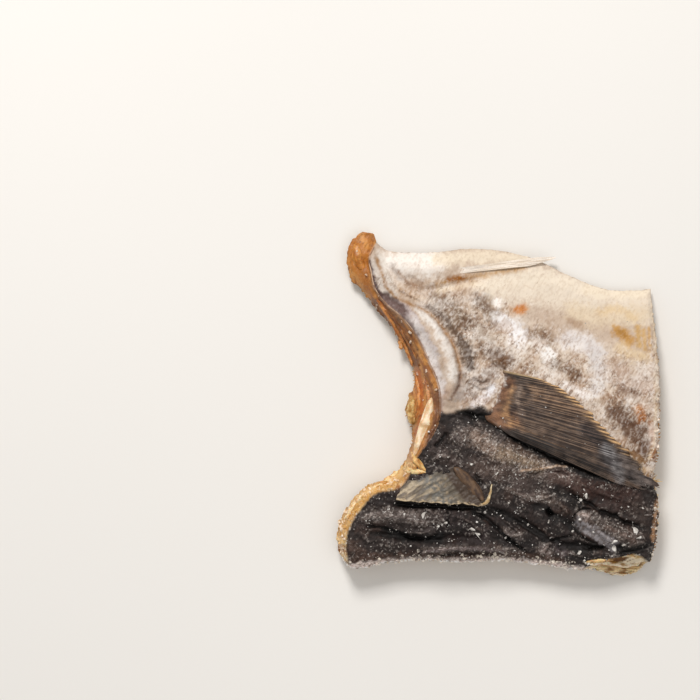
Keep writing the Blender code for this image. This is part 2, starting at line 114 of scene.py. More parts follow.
FOLDS = (  # height (a groove is negative), half width, and the line that each follows
    # rolled skin behind the gill opening, and the crease on its tail side
    (3.1, 3.2, ((-36.5, 33.6), (-31, 30), (-25.4, 25.8), (-20.8, 20.4), (-17.6, 14.4), (-16.2, 8),
                (-16.6, 2.4), (-18.4, -2.4))),
    (-1.6, 1, ((-33.8, 34.1), (-28.9, 32.5), (-24.7, 30.5), (-21.5, 28.3), (-17.9, 23.7), (-14.6, 17.9),
               (-13.3, 12.7), (-12.8, 9), (-13.3, 6), (-15.6, 2))),
    # full belly by the throat, and the hollow that the pelvic fin lies in
    (1.5, 3.6, ((-37, 46.4), (-29, 45.4), (-21, 44.2), (-12, 45.4))),
    (-1.2, 1.6, ((-33.2, 43.6), (-29, 40.2), (-24, 37.2), (-18, 37.6), (-12, 39.4), (-2, 42))),
    (1, 2.4, ((-39.4, 44), (-36.6, 38.4), (-30.6, 35.6))),
    # shoulder muscle behind the roll
    (0.9, 6, ((-8, 26), (-4, 14), (-6, 4))),
    (-0.8, 2.2, ((-10.4, 8), (-6.4, 3.6), (-10, 0.2))),
    # the back swelling below the pectoral fin
    (1.3, 3.6, ((-20, -11), (-8, -10.6), (4, -17.4), (18, -23.6), (30, -28.6))),
    # long wrinkles of the back
    (1.4, 1.8, ((-46, -37.6), (-38, -36.2), (-28, -36), (-16, -37.8))),
    (-1.6, 1.2, ((-44, -41.6), (-34, -42.6), (-24, -44.2), (-13, -43.4), (-2, -44.6))),
    (0.9, 1.3, ((-30, -47.2), (-15, -46.6), (0, -46.8), (13, -48.6))),
    (-1.4, 1.5, ((-7, -33), (4, -37.4), (14, -43), (24, -48.4))),
    (1.4, 2.2, ((24, -34.6), (30, -37.6), (38, -42), (47, -44.6))),
    (-1.2, 1.1, ((19, -45.2), (30, -46.4), (42, -46.6))),
    (-1, 1.5, ((8, -31.2), (16, -35.2), (28, -41.6))),
    # the end of the shoulder bone, bare between the flesh and the skin
    (1.5, 1.1, ((-21.8, -1.6), (-24, -8.6), (-26.6, -15.6))),
)
# crease under the pectoral fin, which bridges it
FIN_CREASE = (-1.7, 1.1, ((-15, -3.2), (-7.4, -3.8), (-1, -6.2), (7, -12.2), (22, -19), (37, -24.6)))
FLAT_CENTRE = (3, -8)
FLAT_HALF = (30, 28)
EDGE_LIFT = 2.6
THINNEST = 0.45  # the underside stays below this share of the top's height

# Spacing of the body's mesh
TOP_SPACING = 0.39
UNDER_SPACING = 1.4
RIM_SPACING = 0.45
COARSE_RIM = 1.9
WALL_ROWS = 12

# How ragged each edge is, head, back, cut and belly, and the grain of its raggedness
RAGGED = (0.3, 0.45, 0.42, 0.08)
RAGGED_GRAIN = 1.3
SKIN_DEPTH = 0.9  # how far down the walls the skin shows
FOOT_INSET = 0.8  # how far the walls lean in down to the underside
LIP_STEP = 0.25  # half the width of the step from the skin down to the flesh
LIP_LENGTH = 140  # of the gill's lip
# What the skin's material and the strewing read, where it isn't worked out point by point
WALL_SHARES = {"speckle": 0.5, "salt": 0.3, "glaze": 0.35, "grains": 0, "crumbs": 0}

# Where the pale flank turns into the dark back: above the line is pale
SHADE_LINE = (
    (-30, -9), (-24.4, -6), (-20.5, -2.4), (-16.2, -2.2), (-12, -0.8), (-7, -0.2), (-3, -1.6),
    (8, -4), (22, -9), (34, -15), (45, -22.5), (55, -25.5),
)

# Pectoral fin: its root line, then the ends of its rays from first to last
PECTORAL_ROOT = ((-0.4, 11.3), (-1.7, 7), (-3.6, 2.2), (-4.9, -2), (-4.4, -5.4), (0.6, -9))
PECTORAL_ENDS = (
    (13.3, 8.2), (19.5, 5.2), (25, 1.4), (30.4, -3.8), (34.6, -8.4), (39.2, -13.4), (45.5, -19.5),
    (49.4, -24.7), (48.6, -27.2), (42.3, -26.9), (36.4, -25.2),
)
PECTORAL_LIFT = 1.1
PELVIC_ROOT = ((-18.6, 43.6), (-17.6, 41.9))
PELVIC_ENDS = ((12.4, 47.8), (18.4, 47.9), (16, 46.7), (9.6, 44.8))
PELVIC_LIFT = 0.6
FLAP_ROOT = ((-33.4, -28.7), (-30.2, -24.4), (-24.1, -21.8), (-18.9, -20.3), (-15.6, -19.6))
FLAP_ENDS = ((-33.9, -30.8), (-26, -31.6), (-17.9, -32), (-5.7, -32.6))
FLAP_LIFT = 1.2

RIB_BASE = (48.6, -25.4, 6)
RIB_SPIKES = ((4.4, 2), (3.6, 14), (3.4, 42), (2.6, 30), (2.8, -48), (2.2, -30))  # length and heading
LARGE_FLAKES = (  # place, length and heading of each coarse crystal
    (43.6, -41, 2.9, -60), (44.6, -43.1, 2, 20), (36.8, -44.5, 2.1, 35), (37, -46.8, 2.7, -65),
    (40, -45.5, 1.7, 10), (25.4, -48.1, 1.8, 30), (27, -50.7, 1.3, 0), (28.6, -51.6, 1.4, 60),
    (27.7, -29.6, 2, 80), (26, -30.9, 1.8, -60), (26.7, -27.6, 1.1, 0), (30.2, -41.3, 1.2, 0),
    (23.4, -41, 1.1, 40), (-17.6, -38, 1.8, 20), (-20.2, -39.3, 1.3, 80), (-25, -35.8, 2.1, 70),
    (-9.1, -40.6, 1.9, -25), (-7.5, -41.9, 1.9, -20), (-23.1, -8.8, 1.1, 0), (-9.4, -19.5, 1.4, 0),
    (-1.3, -22.4, 1.4, 30), (-13.7, -22.4, 1.1, 0), (0, -36.1, 1, 50),
)
BONE = (  # line, half widths along it, rise, sink, crag, two hues
    ((-22.3, 2.2), (-23.5, -3.6), (-25.4, -10), (-27.9, -16.8)), (0.8, 1.7, 2, 1.6, 0.7), 1.3, -0.2, 0.04,
    ("#d9b183", "#f4e2c6"),
)
LUMPS = (  # the same for each lump of flesh
    (((-28, 1.8), (-28.6, -2.4), (-28, -6.8)), (0.9, 1.8, 1.3), 1.5, 0.3, 0.3, ("#a87a3c", "#dfbd80")),
    (((-28.8, -15.4), (-27, -18.6), (-24.2, -21.8)), (0.6, 1.1, 1.1, 0.4), 0.9, -0.1, 0.12,
     ("#b07a3c", "#e0b878")),
    (((-31.4, -19.4), (-29.2, -20.6), (-27, -20.9)), (1, 2.1, 1.6, 1), 0.7, -0.1, 0.15,
     ("#a8743a", "#e6c083")),
    (((-31.6, -21.6), (-28, -21.7), (-24, -22)), (0.9, 1, 0.9, 0.3), 0.8, -0.1, 0.15, ("#c08a48", "#efd09a")),
    (((-32.6, 23.4), (-32.2, 20.6), (-32, 17.6)), (0.6, 1, 0.6), 0.9, 0.5, 0.3, ("#8a5a2e", "#c58b50")),
    (((-27.4, 10.4), (-26.4, 5.4), (-26.2, 0.4), (-27.4, -5)), (0.5, 0.9, 0.8, 0.4), 0.8, 0.2, 0.25,
     ("#9a5a26", "#cf8b4a")),
    (((-24.6, 9), (-23.4, 4), (-23.4, -1)), (0.4, 0.7, 0.4), 0.6, 0.1, 0.2, ("#8a5430", "#c89060")),
    (((-40.4, 34.4), (-36.4, 29.4), (-33.2, 24), (-30.2, 18), (-28.2, 12)), (0.5, 1, 1, 0.9, 0.5), 0.7,
     0.3, 0.22, ("#a0602a", "#cd8d4e")),
    (((-37.2, 30.8), (-33.4, 26), (-30.4, 21), (-27, 14.4)), (0.3, 0.5, 0.5, 0.3), 0.5, 0.1, 0.15,
     ("#6e4429", "#a8713f")),
    (((-46.4, 52.6), (-46, 47.6), (-44.4, 43.6)), (1.4, 2.2, 1.2), 1, 0.5, 0.12, ("#a0601f", "#c4853c")),
    (((-33, -22), (-36.6, -25.2), (-41.4, -27.6)), (0.8, 1.2, 0.8), 0.9, 0.2, 0.5, ("#c08a48", "#f6dcaa")),
    (((-43, -29), (-47.2, -32.8), (-50, -38)), (0.7, 1.1, 0.7), 0.8, 0.2, 0.5, ("#c89858", "#f6e0b6")),
)
LOIN_BANDS = (  # torn layers of the loin, from the skin outwards
    (((27.6, -51.2), (33, -50.6), (37.6, -50.2)), (0.4, 0.8, 0.4), 0.7, 0, 0.08, ("#8f6230", "#dfbe84")),
    (((28.4, -51.9), (34.6, -52), (40.6, -52.6), (45.6, -52.6)), (0.4, 0.9, 1.1, 0.5), 0.9, 0.1, 0.08,
     ("#a87c42", "#f8ead0")),
    (((30, -53), (36, -53.9), (41.4, -54.4), (45.2, -54.2)), (0.4, 0.9, 0.8, 0.4), 0.7, 0.1, 0.08,
     ("#8c6230", "#eed7a8")),
    (((32.4, -54.2), (37.4, -55.2), (42, -55.7)), (0.3, 0.7, 0.4), 0.6, 0.2, 0.08, ("#a87b42", "#fbf0d6")),
    (((39.4, -49.6), (42.4, -49.4), (45, -50.4)), (0.3, 0.5, 0.3), 0.8, 0, 0.08, ("#d9bd8b", "#f6ecd2")),
)
FLAP_LOBE = (
    ((-15.2, -20.4), (-11.8, -23.6), (-8.4, -27.6), (-5.6, -31.2)), (1.1, 1.8, 1.9, 1), 1, -0.8, 0.08,
    ("#3f2e25", "#68503b"),
)
FLAP_CURL = (
    ((-6.6, -32.4), (-4.6, -31.6), (-3.5, -29), (-2.9, -25.8)), (0.4, 0.6, 0.45, 0.2), 0.8, -0.3, 0.2,
    ("#b99a6c", "#ead9b6"),
)
CALM_SPOTS = (  # half width and line of each smooth stretch of skin
    (4.4, FOLDS[0][2]),
    (2.2, ((26.6, -38.8), (29.8, -41.2), (33.2, -43.8), (36.2, -45.6))),
    (1.6, ((18.6, -26.4), (30, -28.6), (40, -31.8))),
    (1.6, ((-17, -43.6), (-9.6, -44.4), (-2.6, -45))),
)
BACK_LEDGE = 0.4  # how far the back's flesh stands out past the skin
FRINGES = (  # edge, part of it, threads, longest, radius, hues
    (CUT_EDGE, 0.02, 0.56, 70, 0.9, 0.3, ("#b07a42", "#e8cfa4", "#6d4a30", "#a87a4e")),
    (BACK_EDGE, 0.03, 0.8, 90, 0.8, 0.34, ("#efe4d8", "#d9c4ae", "#8a7362", "#e6d6c4")),
    (HEAD_EDGE, 0.3, 0.62, 18, 1, 0.24, ("#a5672f", "#d9a869", "#c98f4e")),
)

# Wrinkles finer than the solid's folds: rise (a groove is negative), half width, line
WRINKLES = (
    (-1.8, 0.81, ((-37.7, -31.9), (-29.2, -32.8), (-19.5, -33.1), (-10.4, -33.5), (-4.5, -33.5))),
    (1.2, 1.1, ((-46.8, -38), (-40.3, -36.4), (-32.5, -36.7), (-26, -38.4), (-22.1, -40.3))),
    (0.94, 0.49, ((-26, -32.8), (-22.8, -34.5), (-20.2, -37.1), (-18.9, -39.6))),
    (-0.94, 0.36, ((-17.9, -33.8), (-16.6, -37.1), (-17.2, -40.3))),
    (-1.4, 0.45, ((-44.2, -39.3), (-39.6, -39.6), (-35.8, -40.6), (-32.2, -41.9))),
    (-1.6, 0.42, ((-32.5, -42.2), (-29.2, -43.2), (-26, -43.6), (-22.8, -43.2), (-19.5, -41.9))),
    (0.81, 0.36, ((-31.9, -41), (-27.3, -41.8), (-23.4, -41.3))),
    (0.54, 0.25, ((-46.1, -40.3), (-43.6, -40), (-41.3, -41.3))),
    (0.54, 0.25, ((-44.9, -41.9), (-43.9, -43.9), (-41.6, -44.5), (-40, -42.6))),
    (1.2, 0.36, ((-26, -48.4), (-22.1, -47.3), (-16.2, -46.5), (-8.1, -46.3), (-0.7, -47.1), (3.9, -48.4))),
    (-0.81, 0.55, ((-22.8, -49.1), (-14.6, -48.6), (-6.5, -48.6), (1.3, -49.7))),
    (0.68, 1.4, ((-17.6, -44.2), (-10.4, -43.9), (-2.6, -44.9))),
    (0.81, 0.42, ((-15.6, -36.1), (-11.1, -37.4), (-7.5, -40), (-5.2, -43.2))),
    (-1.4, 0.65, ((-10.4, -34.5), (-5.2, -36.7), (-1, -40.3), (3.6, -44.5), (8.1, -47.8))),
    (0.81, 0.42, ((-3.9, -33.5), (0.3, -36.7), (4.9, -40.6), (8.5, -43.2))),
    (1.1, 0.81, ((0, -26.7), (4.5, -28.6), (9.1, -30.6), (13, -31.9))),
    (0.81, 0.33, ((11.1, -31.5), (14.6, -30.2), (18.2, -28.9))),
    (-3.2, 0.65, ((15, -33.8), (16.9, -36.1))),
    (1.2, 0.65, ((18.5, -31.2), (20.5, -33.5), (21.8, -35.8))),
    (-1.4, 0.31, ((23.1, -37.7), (24.4, -35.1), (27, -33.8), (30.6, -34.1))),
    (1.2, 0.65, ((25.4, -35.8), (28.6, -36.7))),
    (0.94, 0.62, ((26.7, -39), (30.6, -41), (34.5, -43.6), (37.7, -45.8))),
    (-1.2, 0.33, ((24.1, -40.6), (27.6, -43.6), (31.9, -45.5))),
    (-1.8, 0.42, ((27.9, -47.1), (31.2, -46.5), (34.1, -46.5))),
    (-1.5, 0.62, ((19.5, -25.7), (23.4, -29.2), (28.6, -32.2), (33.8, -35.1), (39.6, -37.7),
        (46.5, -40.3))),
    (0.81, 0.45, ((32.5, -37.1), (37.7, -39.6), (42.9, -41.6), (47.8, -43.6))),
    (0.68, 0.65, ((21.4, -24.1), (29.2, -27.3), (37.7, -30.6), (47.1, -33.1))),
    (-1.1, 0.36, ((5.2, -35.8), (8.5, -38), (11.7, -40.3), (15.3, -42.6))),
    (0.68, 0.36, ((2.3, -36.7), (6.5, -40), (10.4, -42.6), (13.7, -44.5))),
    (-1.2, 0.39, ((15.6, -44.5), (18.2, -43.6), (21.4, -42.9), (24.4, -42.6))),
    (0.94, 0.55, ((12.7, -49.7), (14, -47.1), (16.6, -44.9), (19.8, -46.1))),
    (0.68, 0.45, ((20.2, -46.8), (23.4, -48.4), (27.6, -49.7))),
    (-1.1, 0.39, ((1, -42.9), (5.2, -45.8), (10.1, -48.8))),
    (0.68, 0.33, ((0.7, -40.6), (2.6, -42.6), (5.2, -42.6), (7.8, -41.3))),
    (0.68, 0.22, ((5.9, -22.1), (9.8, -21.1), (14.6, -20.6), (18.2, -20.2), (21.4, -19.8))),
    (-0.81, 0.42, ((7.8, -22.8), (13.3, -22.1), (18.2, -21.8), (23.4, -23.4))),
    (0.81, 0.45, ((39, -46.8), (43.6, -45.5), (47.8, -44.5))),
    (-0.94, 0.36, ((37.7, -48.4), (43.6, -47.3), (49.1, -46.1))),
    (-1.2, 0.62, ((-21.4, -14), (-19.2, -11.7), (-16.6, -8.8))),
    (0.94, 0.72, ((-22.8, -18.2), (-19.5, -16.6), (-15.9, -17.2))),
    (-1.2, 0.65, ((-15.6, -2.6), (-11.1, -2.9), (-6.5, -5.2))),
    (0.68, 0.49, ((-9.1, -7.8), (-4.5, -9.4), (0, -12))),
    (-0.94, 0.49, ((-8.5, -22.1), (-6.5, -24.7), (-7.8, -27))),
    (-0.68, 0.28, ((-8.8, 8.8), (-6.5, 6.8), (-3.6, 7.8))),
    (0.54, 0.36, ((-9.8, 7.5), (-6.5, 5.2), (-3.2, 6.2))),
    (0.54, 0.31, ((-16.9, 33.5), (-14.3, 30.9), (-12.3, 27.3))),
    (0.54, 0.31, ((-9.8, 33.8), (-7.8, 29.9), (-5.2, 26.7))),
    (-0.54, 0.33, ((-13.7, 25.4), (-9.8, 23.4), (-5.9, 22.8))),
    (0.81, 0.45, ((-38.4, 46.8), (-36.4, 41.6), (-33.1, 37.7), (-28.6, 35.1), (-23.4, 32.8))),
)

# Patches of colour, later ones over earlier ones: what it is, hue, strength, half width, soft edge, line
SKIN_PATCHES = (
    ("belly, cream", "#e2d5c4", 0.9, 6.5, 3.2, ((0, 39), (13, 39), (26, 35), (39, 33), (48, 32))),
    # white belly skin, made whiter as painted light where the full belly swells by the throat
    ("belly, white", "#ede6df", 1, 4.5, 2.6, ((-36, 45), (-29, 46), (-22, 46))),
    ("belly, white ridge", "#e2d4bf", 0.95, 2.3, 2, ((-20, 47), (-10, 48), (0, 48), (8, 47))),
    ("belly under the fin", "#e6d9c7", 0.95, 2.3, 2, ((-7, 39), (2, 40), (11, 41), (21, 40), (29, 37))),
    ("belly, tail end", "#e6d8c3", 0.9, 2, 1.6, ((29, 37), (37, 36), (47, 36))),
    ("tail belly, cream", "#dac7ac", 0.8, 3.2, 2.6, ((24, 30), (32, 28), (46, 29))),
    ("tail belly, gold specks", "#d9bc90", 0.55, 1.3, 1.3, ((32.5, 29.9), (38.4, 31.2), (44.2, 27.9))),
    ("flank, base", "#d8c8b8", 0.8, 7.8, 3.9, ((0, 24), (13, 18), (26, 14), (36, 11))),
    ("mottled shoulder, left", "#85705e", 0.9, 3.9, 2.6, ((-20, 33), (-16, 30), (-13, 27))),
    ("mottled shoulder, right", "#7b6656", 0.9, 2.9, 2.3, ((-6, 33), (-3, 30), (-1, 27))),
    ("mottled shoulder, low", "#7b6555", 0.8, 2.3, 1.6, ((-10, 26), (-6, 24))),
    ("dark by the roll", "#4a382d", 1, 2, 1.3, ((-12, 20), (-10, 16), (-10, 12))),
    ("brown by the fin's root", "#70533c", 1, 2.9, 2, ((-5, 18), (-1, 16), (2, 14))),
    ("brown by the root, dark", "#5f4735", 0.9, 1.1, 0.98, ((-2, 13), (1.3, 11.7))),
    ("tan, middle", "#a1846b", 0.7, 1.6, 1.6, ((-6, 21), (-3, 20))),
    ("grey-white, fibrous", "#b7a99c", 0.8, 2.9, 2.3, ((-7, 23), (-4, 21))),
    ("brown, middle", "#8d745f", 0.85, 2, 1.6, ((8, 23), (12, 23), (16, 21))),
    ("brown, middle low", "#a08873", 0.7, 1.3, 1.3, ((6.5, 12.3), (10.4, 11.1))),
    ("brown above the fin", "#7d6450", 0.85, 2, 1.6, ((16, 14), (20, 12), (25, 9))),
    ("brown spot", "#a98c74", 0.75, 1.3, 0.98, ((22.8, 27), (25.7, 25.7))),
    ("frost, upper", "#f0edee", 1, 2.9, 2, ((1, 27), (4, 25), (6, 21))),
    ("frost, spot", "#f7f2ed", 0.9, 1.3, 0.98, ((-1, 33.5), (-0.3, 32.8))),
    ("frost, middle", "#f8f5f3", 1, 2, 1.3, ((12, 20), (14, 18), (16, 16))),
    ("frost, broad", "#ded7d5", 0.95, 3.2, 2, ((22, 21), (27, 20), (31, 17))),
    ("frost, broad low", "#d3ccca", 0.95, 2.6, 2, ((31, 16), (32, 10), (31, 5))),
    ("frost over the fin", "#efe9e6", 0.9, 1.6, 1.3, ((21, 6), (25, 4), (29, 3))),
    ("frost by the root, bright", "#efeef3", 1, 1.6, 1.1, ((-8.5, 0), (-5.2, 2), (-2.6, 5.2))),
    ("frost by the root", "#b6aaa3", 0.9, 2.9, 1.6, ((-12, 3), (-8, 6), (-3, 10))),
    ("frost by the root, left", "#a89a91", 0.85, 2, 1.6, ((-14, 5), (-12, 10))),
    # painted shade along the groove by the fin's root
    ("fold by the root, painted shade", "#7b6455", 0.85, 0.65, 0.49, ((-8.5, 8.5), (-6.5, 6.8), (-3.9, 7.8))),
    ("tail flank, pinkish", "#c3afa2", 0.85, 3.6, 2.6, ((37, 10), (42, 6), (47, 6))),
    ("tail flank, brown", "#8a705f", 0.8, 2, 1.6, ((39, 5), (44, 3))),
    ("tail flank, pale", "#dccfc3", 0.8, 1.6, 1.3, ((42, 1), (46, 0), (49, -1))),
    ("tail flank, dark", "#6a5040", 0.95, 3.9, 2.6, ((38, -3), (42, -7), (46, -11), (47, -15))),
    ("tail flank, gold fibres", "#8b6b4a", 0.9, 2.6, 1.6, ((41, -16), (45, -19), (48, -23))),
    ("gold patch", "#b98a48", 0.95, 2, 1.3, ((38, 24), (41, 22), (42, 20))),
    ("gold patch, core", "#a2732f", 0.7, 0.81, 0.65, ((39, 23.4), (40.6, 22.4))),
    ("gold streak", "#c39a58", 0.8, 0.98, 0.81, ((44.9, 24.7), (45.2, 18.9))),
    ("gold streak, second", "#c9a061", 0.75, 0.78, 0.65, ((46.8, 24.1), (47.1, 17.6))),
    ("gold streak at the cut", "#c79c5c", 0.8, 0.49, 0.49, ((48.4, 24.7), (48.8, 16.9))),
    ("gold haze", "#dbc29c", 0.7, 2.3, 2, ((39, 18), (46, 15))),
    ("orange spot", "#b55c12", 1, 1.2, 0.98, ((5.5, 30.6), (7.2, 30.9))),
    ("orange haze", "#cf9a62", 0.5, 1.6, 1.6, ((4, 30), (8, 31))),
    ("orange at the cut", "#b06f2c", 0.85, 1.8, 1.4, ((45, -2), (46, -4))),
    ("orange at the cut, low", "#a0642c", 0.9, 1.1, 0.98, ((48.8, -6.5), (49.7, -11.1), (49.4, -16.9))),
    ("pale rim at the cut", "#ecd9bd", 0.7, 0.65, 0.65, (
        (50.1, 33.8), (50.7, 7.8), (50.1, -11.7), (48.1, -17.6))),
    ("pale wedge at the fin's end", "#c9ab88", 0.7, 0.98, 0.81, (
        (42.2, -18.2), (45.8, -21.4), (48.8, -21.4))),
    # lavender skin of the roll, darkened as painted shade on its side that falls towards the gill
    ("roll, lavender with painted shade", "#b3a7a8", 0.95, 2.6, 0.98, (
        (-36.4, 33.5), (-31.5, 29.9), (-27.3, 24.1), (-23.7, 17.6), (-21.8, 10.4), (-20.8, 3.9),
        (-22.1, -2.6))),
    ("roll, pale", "#dfd7d4", 0.9, 1.8, 1.3, ((-29, 27), (-25, 21), (-22, 14), (-20, 8), (-20, 3))),
    # cream skin of the roll, brightened as painted light on its side towards the crease
    ("roll, cream with painted light", "#ece7e2", 0.9, 1.5, 1.3, (
        (-26.7, 31.2), (-21.4, 26), (-17.6, 19.2), (-15.6, 13.7), (-15.6, 9.1))),
    ("roll, low", "#b59a88", 0.8, 1.3, 1.3, ((-17.6, 3.9), (-19.5, 0), (-22.1, -4.5))),
    ("cheek, pale", "#c8beb5", 0.95, 2.3, 1.3, ((-40, 46), (-39, 40), (-35, 36))),
    ("cheek, white", "#dcd4cb", 0.8, 0.98, 0.98, ((-39.6, 49.4), (-37.7, 44.9), (-35.8, 40.3))),
    # painted shade in the hollow below the full belly by the throat
    ("cheek hollow, painted shade", "#94847a", 0.7, 0.81, 0.98, ((-35.4, 44.9), (-32.8, 41.6), (-29.2, 39))),
    ("cheek, tan", "#c3a98f", 0.7, 1.3, 1.3, ((-32.5, 37.1), (-27.9, 35.1), (-22.8, 32.5))),
    # painted shade, brown, in the crease that the pelvic fin lies in
    ("crease, painted brown shade", "#94745a", 0.7, 0.59, 0.81, ((-32.8, 42.9), (-29.9, 39.3), (-25, 37.4), (-20.2, 38.4))),
    ("cream by the crease", "#eadbc4", 0.7, 0.98, 0.98, ((-19.5, 37.1), (-14.3, 38), (-8.5, 39))),
    ("crease, tan shade", "#bb8f56", 0.8, 0.85, 1.3, (
        (-20.2, 39), (-15.6, 40.3), (-10.4, 41.1), (-5.2, 41.9), (1.6, 43.2), (8.1, 44.5))),
    # painted shadow, amber, under the pelvic fin's lower edge
    ("painted amber shadow under the pelvic fin", "#965a16", 1, 0.75, 1.1, ((-16.6, 40.5), (-14.3, 40.8), (-12, 41.1))),
    # golden-brown line of the roll's crease, darkened as painted shade in its groove
    ("crease of the roll, with painted shade", "#9a7248", 0.95, 0.52, 0.72, (
        (-40.3, 47.5), (-38.7, 42.9), (-37.1, 38), (-33.8, 34.5), (-28.9, 32.5), (-24.7, 30.6),
        (-21.4, 28.3), (-17.9, 23.7), (-14.6, 17.9), (-13.3, 12.7), (-12.8, 9.1))),
    ("beside the crease", "#5f4b3c", 0.9, 1.2, 0.98, (
        (-23.4, 31.9), (-18.2, 27.9), (-14, 22.8), (-11.4, 17.6), (-10.7, 13))),
    # painted shade in the crease where it runs on below the roll
    ("crease under the roll, painted shade", "#6f4f3c", 0.8, 0.52, 0.65, ((-12.8, 10.4), (-13.7, 6.2), (-16.2, 1.6))),
    # the next three: purple skin where the roll falls steeply to the gill's lip, darkened as painted shade on
    # that steep side
    ("lip, purple", "#513a37", 1, 0.85, 0.45, (
        (-42.6, 46.5), (-41.9, 41.9), (-40, 37.1), (-37.1, 33.8), (-33.5, 31.9))),
    ("lip, purple upper", "#452f2a", 0.9, 1.5, 0.98, ((-37.4, 35.1), (-34.1, 32.8), (-31.5, 29.9))),
    ("lip, purple band", "#715c59", 0.9, 0.98, 0.98, (
        (-37.7, 34.1), (-33.8, 31.9), (-30.2, 27.3), (-27.6, 22.4))),
    ("lip, grey", "#8c7a74", 0.8, 0.65, 0.65, ((-29.6, 26.3), (-26.7, 20.8), (-23.7, 15))),
    ("lip, pale", "#cdb19b", 0.7, 0.33, 0.26, (
        (-43.6, 49.4), (-43.2, 46.1), (-42.6, 41.3), (-40.3, 35.8), (-37.4, 32.8), (-33.8, 29.6),
        (-29.9, 24.7), (-26.7, 19.2), (-24.4, 14.3))),
)
